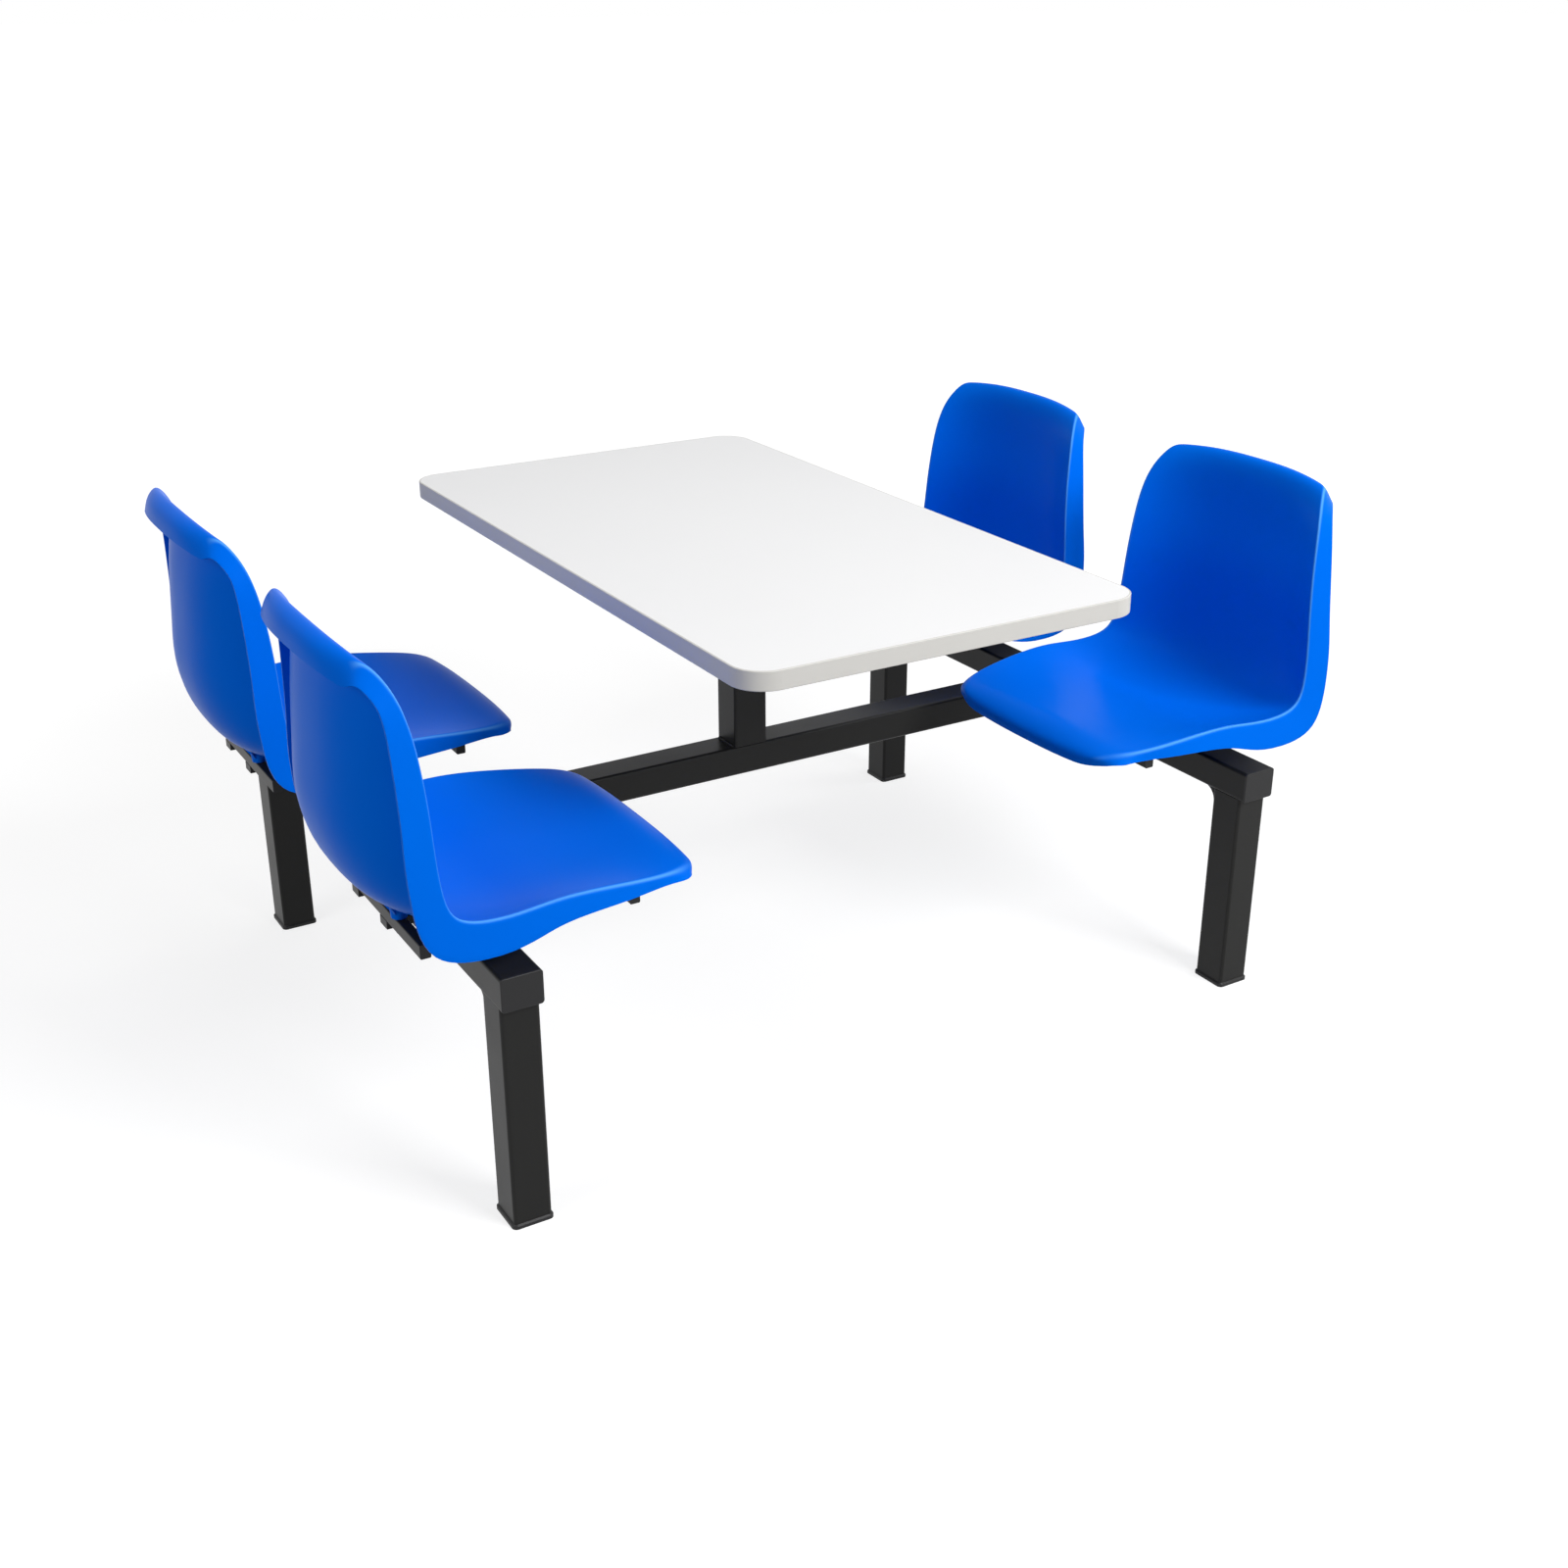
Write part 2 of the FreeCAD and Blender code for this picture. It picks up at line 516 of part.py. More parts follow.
def surface(grid):
    """A cubic surface steered by the grid: it passes through the grid's corners and follows
    its inner points closely, with no ripple between them."""
    patch = Part.BSplineSurface()
    spans = [len(grid) - CUBIC, len(grid[0]) - CUBIC]
    marks = [[float(k) for k in range(n + 1)] for n in spans]
    repeats = [[CUBIC + 1] + [1] * (n - 1) + [CUBIC + 1] for n in spans]
    patch.buildFromPolesMultsKnots(grid, *repeats, *marks, False, False, CUBIC, CUBIC)
    return patch.toShape()


def shell_panel():
    knots, lines = shell_lines()
    span = knots[-1]
    rows = []
    for first, last in zip(knots, knots[1:]):
        rows += [first + (last - first) * i / ROWS_PER_STATION for i in range(ROWS_PER_STATION)]
    rows.append(span)
    front = [full_section(lines, t, span, False) for t in rows]
    hidden = [full_section(lines, t, span, True) for t in rows]
    faces = [surface(front), surface(hidden)]
    borders = [(front[0], hidden[0]), (front[-1], hidden[-1]),
               ([r[0] for r in front], [r[0] for r in hidden]),
               ([r[-1] for r in front], [r[-1] for r in hidden])]
    outer, inner = faces[0].Edges, faces[1].Edges
    for line, twin in borders:
        edge = nearest_edge(outer, line[len(line) // 2])
        mate = nearest_edge(inner, twin[len(twin) // 2])
        faces.append(Part.makeRuledSurface(edge, mate))
    skin = Part.makeShell(faces)
    skin.sewShape()
    solid = Part.makeSolid(skin.Shells[0] if skin.Shells else skin)
    if solid.Volume < 0:
        solid.reverse()
    return solid


def nearest_edge(edges, point):
    return min(edges, key=lambda e: e.distToShape(Part.Vertex(point))[0])


def seat_shell():
    shell = shell_panel()
    pilot = SEAT_SCREW_RADIUS + SCREW_PILOT_CLEARANCE
    reach = SEAT_SCREW_GRIP + SCREW_TIP_CLEARANCE
    bosses = []
    for x, y in screw_places():
        pieces = rod(BOSS_RADIUS, BOSS_BLANK, x, y, RAIL_TOP).cut(shell).Solids
        boss = min(pieces, key=lambda s: s.CenterOfMass.z)
        bosses.append(boss.cut(rod(pilot, reach, x, y, RAIL_TOP)))
    return shell.multiFuse(bosses)


# ---------------------------------------------------------------- assembly
def build_seats():
    moving = {
        "shell": [seat_shell()],
        "rails": seat_rails(),
        "rail_plugs": rail_plugs(),
        "arms": carrier_arms(),
        "swivel_plate": [swivel_plate()],
        "spindle": [spindle()],
        "spindle_clip": [spindle_clip()],
        "seat_screws": seat_screws(),
    }
    housing = swivel_housing()
    bushes = []
    stops = []
    for side, x in SIDES.items():
        facing = 0 if x < 0 else 180
        for end, y in ENDS.items():
            for piece, solids in moving.items():
                placed = [moved(turned(s, facing), x * BEAM_X, y * SEAT_Y) for s in solids]
                shape = placed[0] if len(placed) == 1 else Part.makeCompound(placed)
                export(shape, end + "_" + side + "_" + piece)
            export(moved(housing, x * BEAM_X, y * SEAT_Y), end + "_" + side + "_swivel_housing")
            bushes += [moved(b, x * BEAM_X, y * SEAT_Y) for b in swivel_bushes()]
            stops += [moved(turned(s, facing), x * BEAM_X, y * SEAT_Y) for s in swivel_stops()]
    export(Part.makeCompound(bushes), "swivel_bushes")
    export(Part.makeCompound(stops), "swivel_stops")


os.makedirs("parts", exist_ok=True)
build_table()
build_post()
build_beams()
build_legs()
build_seats()
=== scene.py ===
# %% [markdown]
# # A canteen table with four swivel seats
#
# One laminated top stands on a centre post. Two side beams carry four moulded seats, each on
# a steel carrier that turns a little on a spindle. The steel and wood come ready made as a
# frame of fixed solids. This lesson gives them their finishes, moulds the seat shells, and
# adds the small things that a welder and a fitter leave behind.
#
# Everything is in metres. X runs from the left seats to the right seats, Y along each row of
# seats, and Z is up. The near end is -Y.

# %% Load the frame
import bpy
import bmesh
import json
import math
from mathutils import Matrix, Vector
from mathutils.bvhtree import BVHTree


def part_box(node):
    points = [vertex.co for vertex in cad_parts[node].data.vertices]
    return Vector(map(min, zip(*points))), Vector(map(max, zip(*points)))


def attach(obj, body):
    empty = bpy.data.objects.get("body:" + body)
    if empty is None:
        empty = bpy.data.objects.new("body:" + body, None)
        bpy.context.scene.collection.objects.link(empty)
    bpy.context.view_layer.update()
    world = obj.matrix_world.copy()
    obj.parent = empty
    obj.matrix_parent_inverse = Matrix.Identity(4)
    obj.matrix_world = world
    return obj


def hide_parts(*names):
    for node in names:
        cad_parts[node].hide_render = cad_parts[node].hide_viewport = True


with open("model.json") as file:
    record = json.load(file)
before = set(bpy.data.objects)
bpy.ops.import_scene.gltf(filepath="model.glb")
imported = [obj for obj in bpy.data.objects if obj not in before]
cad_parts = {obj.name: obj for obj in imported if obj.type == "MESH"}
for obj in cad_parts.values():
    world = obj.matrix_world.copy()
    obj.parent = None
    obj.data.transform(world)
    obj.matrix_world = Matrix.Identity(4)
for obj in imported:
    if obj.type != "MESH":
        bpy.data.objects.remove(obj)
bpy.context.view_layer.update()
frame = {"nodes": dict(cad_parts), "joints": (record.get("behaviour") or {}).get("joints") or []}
MM = 0.001

# %% [markdown]
# ## Where we look from
#
# The table is seen from its near left corner, a little above head height of a seated person.
# A lens of about 43 mm keeps the far seats from shrinking much. The camera is turned by two
# plain angles: it tips down from level, and swings from the +Y direction towards +X.

# %% Camera
CAMERA_PLACE = Vector((-1.439, -2.519, 1.570))
CAMERA_TIP_DOWN = 23.49        # degrees
CAMERA_SWING = 31.11           # degrees
CAMERA_LENS = 43.16            # millimetres, as the sensor's width
SENSOR_WIDTH = 36.0

camera_data = bpy.data.cameras.new("camera")
camera_data.lens = CAMERA_LENS
camera_data.sensor_width = SENSOR_WIDTH
camera = bpy.data.objects.new("camera", camera_data)
camera.location = CAMERA_PLACE
camera.rotation_euler = (math.radians(90 - CAMERA_TIP_DOWN), 0, math.radians(-CAMERA_SWING))
bpy.context.scene.collection.objects.link(camera)
bpy.context.scene.camera = camera
bpy.context.scene.view_settings.view_transform = "Standard"
print("camera distance to the origin:", round(CAMERA_PLACE.length, 2), "m")

# %% [markdown]
# ## Small helpers for node trees
#
# A material in Blender is a graph of nodes. A few short helpers keep the graphs readable:
# `put` adds a node and sets its plain values, and `wire` joins an output to an input. The
# others start a material, start a node group, and place a finished group in a graph.

# %% Node helpers
def put(tree, kind, settings=None, **inputs):
    """Adds a node. settings are its own properties, inputs are socket values by name."""
    node = tree.nodes.new(kind)
    for name, value in (settings or {}).items():
        setattr(node, name, value)
    for name, value in inputs.items():
        node.inputs[name.replace("_", " ")].default_value = value
    return node


def wire(tree, source, target):
    """Joins an output socket to an input socket."""
    tree.links.new(source, target)


def empty_material(name):
    """A material with only a Principled shader and an output, and its tree."""
    material = bpy.data.materials.new(name)
    material.use_nodes = True
    tree = material.node_tree
    tree.nodes.clear()
    shader = put(tree, "ShaderNodeBsdfPrincipled")
    output = put(tree, "ShaderNodeOutputMaterial")
    wire(tree, shader.outputs["BSDF"], output.inputs["Surface"])
    return material, tree, shader


def empty_group(name, inputs, outputs):
    """A shader node group with named sockets. inputs is a list of (name, kind, default)."""
    tree = bpy.data.node_groups.new(name, "ShaderNodeTree")
    for socket, kind, default in inputs:
        made = tree.interface.new_socket(socket, in_out="INPUT", socket_type=kind)
        made.default_value = default
    for socket, kind in outputs:
        tree.interface.new_socket(socket, in_out="OUTPUT", socket_type=kind)
    return tree, put(tree, "NodeGroupInput"), put(tree, "NodeGroupOutput")


def place_group(tree, group, **inputs):
    """Places a finished group as one node."""
    return put(tree, "ShaderNodeGroup", {"node_tree": group}, **inputs)


NUMBER = "NodeSocketFloat"
COLOUR = "NodeSocketColor"
print("helpers ready")

# %% [markdown]
# ## The studio
#
# A pale floor runs far past the unit, so the picture has no horizon line near it. The floor
# really is lit and really takes the shadow. To make it read as white paper, it also gives
# off a little light of its own, but only to rays from the camera, to mirror rays and to rays
# through glass. Other rays see a light grey floor, so it throws no extra light on the seats.
# Close to the unit the glow is weaker, which leaves room for the shadow, and it grows with the
# distance until the floor meets the sky without a line. The sky works the same way: white to
# look at, dim as a lamp.

# %% Floor
FLOOR_SIZE = 120.0
FLOOR_GREY = 0.34
FLOOR_ROUGHNESS = 0.9
GLOW_NEAR, GLOW_FAR = 0.78, 1.0
SHADOW_REACH = (1.3, 3.6)      # the glow grows over these distances from the middle


def seen_directly(tree):
    """1 for camera, mirror and see-through rays, and 0 for all other rays."""
    path = put(tree, "ShaderNodeLightPath")
    either = put(tree, "ShaderNodeMath", {"operation": "MAXIMUM"})
    wire(tree, path.outputs["Is Camera Ray"], either.inputs[0])
    wire(tree, path.outputs["Is Glossy Ray"], either.inputs[1])
    any_of = put(tree, "ShaderNodeMath", {"operation": "MAXIMUM"})
    wire(tree, either.outputs[0], any_of.inputs[0])
    wire(tree, path.outputs["Is Transmission Ray"], any_of.inputs[1])
    return any_of.outputs[0]


floor_mesh = bpy.data.meshes.new("studio_floor")
half_floor = FLOOR_SIZE / 2
floor_mesh.from_pydata([(-half_floor, -half_floor, 0), (half_floor, -half_floor, 0),
                        (half_floor, half_floor, 0), (-half_floor, half_floor, 0)],
                       [], [(0, 1, 2, 3)])
floor = bpy.data.objects.new("studio_floor", floor_mesh)
bpy.context.scene.collection.objects.link(floor)
paper, tree, shader = empty_material("studio_paper")
shader.inputs["Base Color"].default_value = (FLOOR_GREY, FLOOR_GREY, FLOOR_GREY, 1)
shader.inputs["Roughness"].default_value = FLOOR_ROUGHNESS
shader.inputs["Specular IOR Level"].default_value = 0.0
shader.inputs["Emission Color"].default_value = (1, 1, 1, 1)
place = put(tree, "ShaderNodeTexCoord")
away = put(tree, "ShaderNodeVectorMath", {"operation": "LENGTH"})
wire(tree, place.outputs["Object"], away.inputs[0])
growth = put(tree, "ShaderNodeMapRange", {"interpolation_type": "SMOOTHSTEP"},
             From_Min=SHADOW_REACH[0], From_Max=SHADOW_REACH[1], To_Min=GLOW_NEAR,
             To_Max=GLOW_FAR)
wire(tree, away.outputs["Value"], growth.inputs["Value"])
glow = put(tree, "ShaderNodeMath", {"operation": "MULTIPLY"})
wire(tree, seen_directly(tree), glow.inputs[0])
wire(tree, growth.outputs[0], glow.inputs[1])
wire(tree, glow.outputs[0], shader.inputs["Emission Strength"])
floor_mesh.materials.append(paper)
print("floor:", FLOOR_SIZE, "m square")

# %% Sky
SKY_GREY = 0.16

world = bpy.data.worlds.new("studio_sky")
bpy.context.scene.world = world
world.use_nodes = True
tree = world.node_tree
tree.nodes.clear()
shown = put(tree, "ShaderNodeBackground", Color=(1, 1, 1, 1), Strength=1.0)
lighting = put(tree, "ShaderNodeBackground", Color=(SKY_GREY, SKY_GREY, SKY_GREY, 1), Strength=1.0)
choose = put(tree, "ShaderNodeMixShader")
output = put(tree, "ShaderNodeOutputWorld")
wire(tree, seen_directly(tree), choose.inputs["Fac"])
wire(tree, lighting.outputs[0], choose.inputs[1])
wire(tree, shown.outputs[0], choose.inputs[2])
wire(tree, choose.outputs[0], output.inputs["Surface"])
print("sky lights at", SKY_GREY)

# %% [markdown]
# ## Lamps
#
# Four soft boxes light the unit. The key stands in front of the near end, high and a little
# to the right, so the left sides of the seats fall into shade and the near flanges shine. A
# wide one overhead evens out the pans and the table top, and two weak ones on the left and
# right keep those sides from going black. An area lamp of P watts at d metres gives a white
# face square to it a brightness of P / (pi * d)**2, and that is how the watts are worked out.

# %% Soft boxes
LOOK_AT = Vector((0, 0, 0.5))


def soft_box(name, place, size, brightness):
    """A square area lamp. brightness is what a white face square to it shows at LOOK_AT."""
    lamp_data = bpy.data.lights.new(name, "AREA")
    lamp_data.shape = "RECTANGLE"
    lamp_data.size, lamp_data.size_y = size
    away = Vector(place) - LOOK_AT
    lamp_data.energy = brightness * (math.pi * away.length) ** 2
    lamp = bpy.data.objects.new(name, lamp_data)
    lamp.location = place
    lamp.rotation_euler = away.to_track_quat("Z", "Y").to_euler()
    lamp.visible_camera = False
    bpy.context.scene.collection.objects.link(lamp)
    print(name, round(lamp_data.energy), "W")


soft_box("key_box", (1.1, -3.6, 2.9), (1.7, 1.3), 0.78)
soft_box("top_box", (0.3, 0.2, 3.6), (3.0, 3.0), 0.37)
soft_box("left_box", (-3.8, -0.6, 2.2), (2.0, 2.0), 0.22)
soft_box("right_box", (4.0, -0.6, 1.7), (1.6, 2.0), 0.22)

# %% [markdown]
# ## Shared surface effects
#
# Real finishes are never one flat colour. Three effects turn up on nearly every piece here,
# so each is made once as a node group and then placed in each material with its own values.
#
# * **fine skin**: the tiny relief of a coat or a moulding, and the way its gloss wanders.
# * **tone drift**: broad, faint patches where a colour is a touch lighter or darker.
# * **edge rub**: where corners are handled, the surface goes paler. The Bevel node rounds the
#   normal near an edge, so the angle between it and the true normal finds the corners.
#
# The first two start in the same way, from noise with patches of a set size that swings to
# both sides of a middle value. Two helpers hold those nodes.

# %% Noise helpers
NOISE_MIDDLE = 0.5


def noise_of_size(tree, size, place, **inputs):
    """Noise whose patches are about size metres across. size and place are sockets."""
    per_metre = put(tree, "ShaderNodeMath", {"operation": "DIVIDE"})
    per_metre.inputs[0].default_value = 1.0
    wire(tree, size, per_metre.inputs[1])
    noise = put(tree, "ShaderNodeTexNoise", **inputs)
    wire(tree, place, noise.inputs["Vector"])
    wire(tree, per_metre.outputs[0], noise.inputs["Scale"])
    return noise.outputs["Fac"]


def swing(tree, noise, spread):
    """A node that adds spread times the noise's swing to the value at its third input."""
    centred = put(tree, "ShaderNodeMath", {"operation": "SUBTRACT"})
    centred.inputs[1].default_value = NOISE_MIDDLE
    wire(tree, noise, centred.inputs[0])
    swung = put(tree, "ShaderNodeMath", {"operation": "MULTIPLY_ADD"})
    wire(tree, centred.outputs[0], swung.inputs[0])
    wire(tree, spread, swung.inputs[1])
    return swung


print("noise helpers ready")

# %% Fine skin
GLOSS_PATCHES = 9.0            # patches of other gloss in a metre


def make_fine_skin():
    tree, start, end = empty_group(
        "fine_skin",
        [("Size", NUMBER, 0.001), ("Gloss", NUMBER, 0.4), ("Gloss Spread", NUMBER, 0.05),
         ("Stretch", NUMBER, 1.0)],
        [("Height", NUMBER), ("Roughness", NUMBER)])
    place = put(tree, "ShaderNodeTexCoord")
    stretch = put(tree, "ShaderNodeCombineXYZ", X=1.0, Z=1.0)
    wire(tree, start.outputs["Stretch"], stretch.inputs["Y"])
    pulled = put(tree, "ShaderNodeVectorMath", {"operation": "MULTIPLY"})
    wire(tree, place.outputs["Object"], pulled.inputs[0])
    wire(tree, stretch.outputs[0], pulled.inputs[1])
    grain = noise_of_size(tree, start.outputs["Size"], pulled.outputs[0],
                          Detail=2.0, Roughness=0.55)
    wire(tree, grain, end.inputs["Height"])
    patches = put(tree, "ShaderNodeTexNoise", Scale=GLOSS_PATCHES, Detail=3.0)
    wire(tree, place.outputs["Object"], patches.inputs["Vector"])
    gloss = swing(tree, patches.outputs["Fac"], start.outputs["Gloss Spread"])
    wire(tree, start.outputs["Gloss"], gloss.inputs[2])
    wire(tree, gloss.outputs[0], end.inputs["Roughness"])
    return tree


fine_skin = make_fine_skin()
print("group:", fine_skin.name)

# %% Tone drift
def make_tone_drift():
    tree, start, end = empty_group(
        "tone_drift",
        [("Color", COLOUR, (0.5, 0.5, 0.5, 1)), ("Amount", NUMBER, 0.05), ("Size", NUMBER, 0.1)],
        [("Color", COLOUR)])
    place = put(tree, "ShaderNodeTexCoord")
    patches = noise_of_size(tree, start.outputs["Size"], place.outputs["Object"],
                            Detail=4.0, Roughness=0.6)
    value = swing(tree, patches, start.outputs["Amount"])
    value.inputs[2].default_value = 1.0
    tint = put(tree, "ShaderNodeHueSaturation")
    wire(tree, start.outputs["Color"], tint.inputs["Color"])
    wire(tree, value.outputs[0], tint.inputs["Value"])
    wire(tree, tint.outputs["Color"], end.inputs["Color"])
    return tree


tone_drift = make_tone_drift()
print("group:", tone_drift.name)

# %% Edge rub
CORNER_BEGINS, CORNER_FULL = 0.985, 0.80    # cosine of the angle between the two normals
RUB_PATCHES = 55.0             # patches in a metre that break the rub up
PATCH_BEGINS, PATCH_FULL = 0.38, 0.66       # noise values


def make_edge_rub():
    tree, start, end = empty_group(
        "edge_rub",
        [("Color", COLOUR, (0.5, 0.5, 0.5, 1)), ("Rubbed", COLOUR, (0.7, 0.7, 0.7, 1)),
         ("Width", NUMBER, 0.002), ("Amount", NUMBER, 0.3)],
        [("Color", COLOUR)])
    rounded = put(tree, "ShaderNodeBevel", {"samples": 4})
    wire(tree, start.outputs["Width"], rounded.inputs["Radius"])
    true_face = put(tree, "ShaderNodeNewGeometry")
    along = put(tree, "ShaderNodeVectorMath", {"operation": "DOT_PRODUCT"})
    wire(tree, rounded.outputs["Normal"], along.inputs[0])
    wire(tree, true_face.outputs["Normal"], along.inputs[1])
    corner = put(tree, "ShaderNodeMapRange", From_Min=CORNER_BEGINS, From_Max=CORNER_FULL)
    wire(tree, along.outputs["Value"], corner.inputs["Value"])
    place = put(tree, "ShaderNodeTexCoord")
    broken = put(tree, "ShaderNodeTexNoise", Scale=RUB_PATCHES, Detail=4.0)
    wire(tree, place.outputs["Object"], broken.inputs["Vector"])
    patchy = put(tree, "ShaderNodeMapRange", From_Min=PATCH_BEGINS, From_Max=PATCH_FULL)
    wire(tree, broken.outputs["Fac"], patchy.inputs["Value"])
    both = put(tree, "ShaderNodeMath", {"operation": "MULTIPLY"})
    wire(tree, corner.outputs[0], both.inputs[0])
    wire(tree, patchy.outputs[0], both.inputs[1])
    mask = put(tree, "ShaderNodeMath", {"operation": "MULTIPLY", "use_clamp": True})
    wire(tree, both.outputs[0], mask.inputs[0])
    wire(tree, start.outputs["Amount"], mask.inputs[1])
    mix = put(tree, "ShaderNodeMix", {"data_type": "RGBA"})
    wire(tree, mask.outputs[0], mix.inputs["Factor"])
    wire(tree, start.outputs["Color"], mix.inputs[6])
    wire(tree, start.outputs["Rubbed"], mix.inputs[7])
    wire(tree, mix.outputs[2], end.inputs["Color"])
    return tree


edge_rub = make_edge_rub()
print("group:", edge_rub.name)

# %% [markdown]
# ## A recipe for coats and mouldings
#
# Powder coat, plastic and laminate differ in their values more than in their build. Each
# takes its colour through tone drift and edge rub, its roughness from the fine skin, and its
# relief from a Bump node fed with the skin's height. The constants of the shader, such as
# its specular level, are set straight on the sockets.

# %% Finish recipe
def finish(name, colour, rubbed, skin, drift, rub, bump, specular=0.5, metallic=0.0):
    """A finish. skin is (size, gloss, spread, stretch), drift (amount, size), rub (width,
    amount), and bump the height of the relief in metres."""
    material, tree, shader = empty_material(name)
    drifted = place_group(tree, tone_drift, Color=(*colour, 1), Amount=drift[0], Size=drift[1])
    corners = place_group(tree, edge_rub, Rubbed=(*rubbed, 1), Width=rub[0], Amount=rub[1])
    wire(tree, drifted.outputs["Color"], corners.inputs["Color"])
    wire(tree, corners.outputs["Color"], shader.inputs["Base Color"])
    relief = place_group(tree, fine_skin, Size=skin[0], Gloss=skin[1], Gloss_Spread=skin[2],
                         Stretch=skin[3])
    wire(tree, relief.outputs["Roughness"], shader.inputs["Roughness"])
    bumps = put(tree, "ShaderNodeBump", Strength=1.0, Distance=bump)
    wire(tree, relief.outputs["Height"], bumps.inputs["Height"])
    wire(tree, bumps.outputs["Normal"], shader.inputs["Normal"])
    shader.inputs["Metallic"].default_value = metallic
    shader.inputs["Specular IOR Level"].default_value = specular
    return material


print("recipe ready")

# %% [markdown]
# ## Powder coat on the steel
#
# The steel is sprayed with a black powder that melts into a satin skin. Close up it has the
# dimples of an orange peel about a millimetre across, and it is a hair paler where a corner
# has been rubbed.

# %% Powder coat
powder_black = finish("powder_coat_black", (0.013, 0.013, 0.0125), (0.045, 0.045, 0.045),
                      skin=(0.0013, 0.38, 0.10, 1.0), drift=(0.22, 0.09),
                      rub=(0.0022, 0.5), bump=0.00006, specular=0.17)
print("finish:", powder_black.name)

# %% [markdown]
# ## Seat plastic
#
# The shells are injected polypropylene. The tool is lightly spark-eroded, so the skin is an
# even satin with a very fine grain. Plastic of this kind goes paler where it is scraped, and
# that shows as a faint line on the rims. The broader pale line along the two creases is a
# painted highlight, the glint of the lamps on the tight crease, stored in the mesh as a number
# written when the shell is made.
# The pigment lies right under the skin, so even the highlights look blue, and the shader's
# specular tint stands for that.

# %% Polypropylene
seat_blue = finish("polypropylene_blue", (0.0, 0.152, 0.84), (0.02, 0.27, 0.92),
                   skin=(0.0008, 0.32, 0.06, 1.0), drift=(0.05, 0.16),
                   rub=(0.0016, 0.35), bump=0.00002, specular=0.016)
HIGHLIGHT_BLUE = (0.2, 0.6, 1.0, 1)
# The pale blue and its share paint a highlight along the creases.
CREASE_HIGHLIGHT_BLUE = (0.13, 0.46, 1.0, 1)
CREASE_HIGHLIGHT_SHARE = 0.75              # share of the paler blue in the middle of the line


def paint_crease_highlight(tree, shader):
    """Paints a highlight in the paler blue where the mesh says that the crease runs."""
    colour = shader.inputs["Base Color"].links[0].from_socket
    line = put(tree, "ShaderNodeAttribute", {"attribute_name": "crease_rub"})
    share = put(tree, "ShaderNodeMath", {"operation": "MULTIPLY"})
    share.inputs[1].default_value = CREASE_HIGHLIGHT_SHARE
    wire(tree, line.outputs["Fac"], share.inputs[0])
    mix = put(tree, "ShaderNodeMix", {"data_type": "RGBA"})
    mix.inputs[7].default_value = CREASE_HIGHLIGHT_BLUE
    wire(tree, share.outputs[0], mix.inputs["Factor"])
    wire(tree, colour, mix.inputs[6])
    wire(tree, mix.outputs[2], shader.inputs["Base Color"])


shader = seat_blue.node_tree.nodes["Principled BSDF"]
shader.inputs["Specular Tint"].default_value = HIGHLIGHT_BLUE
# A painted highlight along the creases, mixed into the base colour.
paint_crease_highlight(seat_blue.node_tree, shader)
print("finish:", seat_blue.name)

# %% [markdown]
# ## Table top
#
# The upper face is a pressed white laminate with a pearl texture that keeps fingerprints
# away. The edge is closed by a strip of light grey plastic, drawn through a die, so its
# faint lines run along the strip. Underneath is a plain grey balancing sheet, and inside is
# particle board, which nobody sees but which is there to be found.

# %% Laminate, edge band and backer
laminate_white = finish("laminate_white", (0.83, 0.83, 0.835), (0.90, 0.90, 0.90),
                        skin=(0.0021, 0.36, 0.06, 1.0), drift=(0.025, 0.22),
                        rub=(0.002, 0.2), bump=0.00003, specular=0.45)
band_grey = finish("edge_band_grey", (0.63, 0.62, 0.595), (0.75, 0.74, 0.71),
                   skin=(0.0016, 0.42, 0.06, 0.08), drift=(0.04, 0.12),
                   rub=(0.0016, 0.35), bump=0.00002, specular=0.08)
backer_grey = finish("backer_grey", (0.60, 0.60, 0.59), (0.70, 0.70, 0.70),
                     skin=(0.0030, 0.55, 0.10, 1.0), drift=(0.10, 0.05),
                     rub=(0.002, 0.2), bump=0.00004)
print("finishes:", laminate_white.name, band_grey.name, backer_grey.name)

# %% [markdown]
# Particle board is pressed wood chips. Cells of a Voronoi texture, squashed flat, give each
# chip its own brown, and the same cells give the relief.

# %% Particle board
CHIP_SIZE = 0.004
CHIP_SQUASH = 3.0              # how many times wider than thick a chip is
CHIP_RELIEF = 0.0002
CHIP_DARK = (0.27, 0.17, 0.085, 1)
CHIP_PALE = (0.62, 0.46, 0.28, 1)
CHIP_ROUGHNESS = 0.8


def chip_board():
    material, tree, shader = empty_material("particle_board")
    place = put(tree, "ShaderNodeTexCoord")
    flat = put(tree, "ShaderNodeVectorMath", {"operation": "MULTIPLY"})
    flat.inputs[1].default_value = (1.0, 1.0, CHIP_SQUASH)
    wire(tree, place.outputs["Object"], flat.inputs[0])
    chips = put(tree, "ShaderNodeTexVoronoi", Scale=1 / CHIP_SIZE)
    wire(tree, flat.outputs[0], chips.inputs["Vector"])
    browns = put(tree, "ShaderNodeValToRGB")
    browns.color_ramp.elements[0].color = CHIP_DARK
    browns.color_ramp.elements[1].color = CHIP_PALE
    wire(tree, chips.outputs["Color"], browns.inputs["Fac"])
    wire(tree, browns.outputs["Color"], shader.inputs["Base Color"])
    shader.inputs["Roughness"].default_value = CHIP_ROUGHNESS
    bumps = put(tree, "ShaderNodeBump", Strength=1.0, Distance=CHIP_RELIEF)
    wire(tree, chips.outputs["Distance"], bumps.inputs["Height"])
    wire(tree, bumps.outputs["Normal"], shader.inputs["Normal"])
    return material


board_brown = chip_board()
print("finish:", board_brown.name)

# %% [markdown]
# ## Small parts
#
# Caps and feet are black nylon with a coarser grain than the powder coat and less shine. The
# bushes are cream acetal, which is waxy. Spindles, clips and screws are zinc plated: metal,
# with fine drawing lines and a slightly cloudy shine.

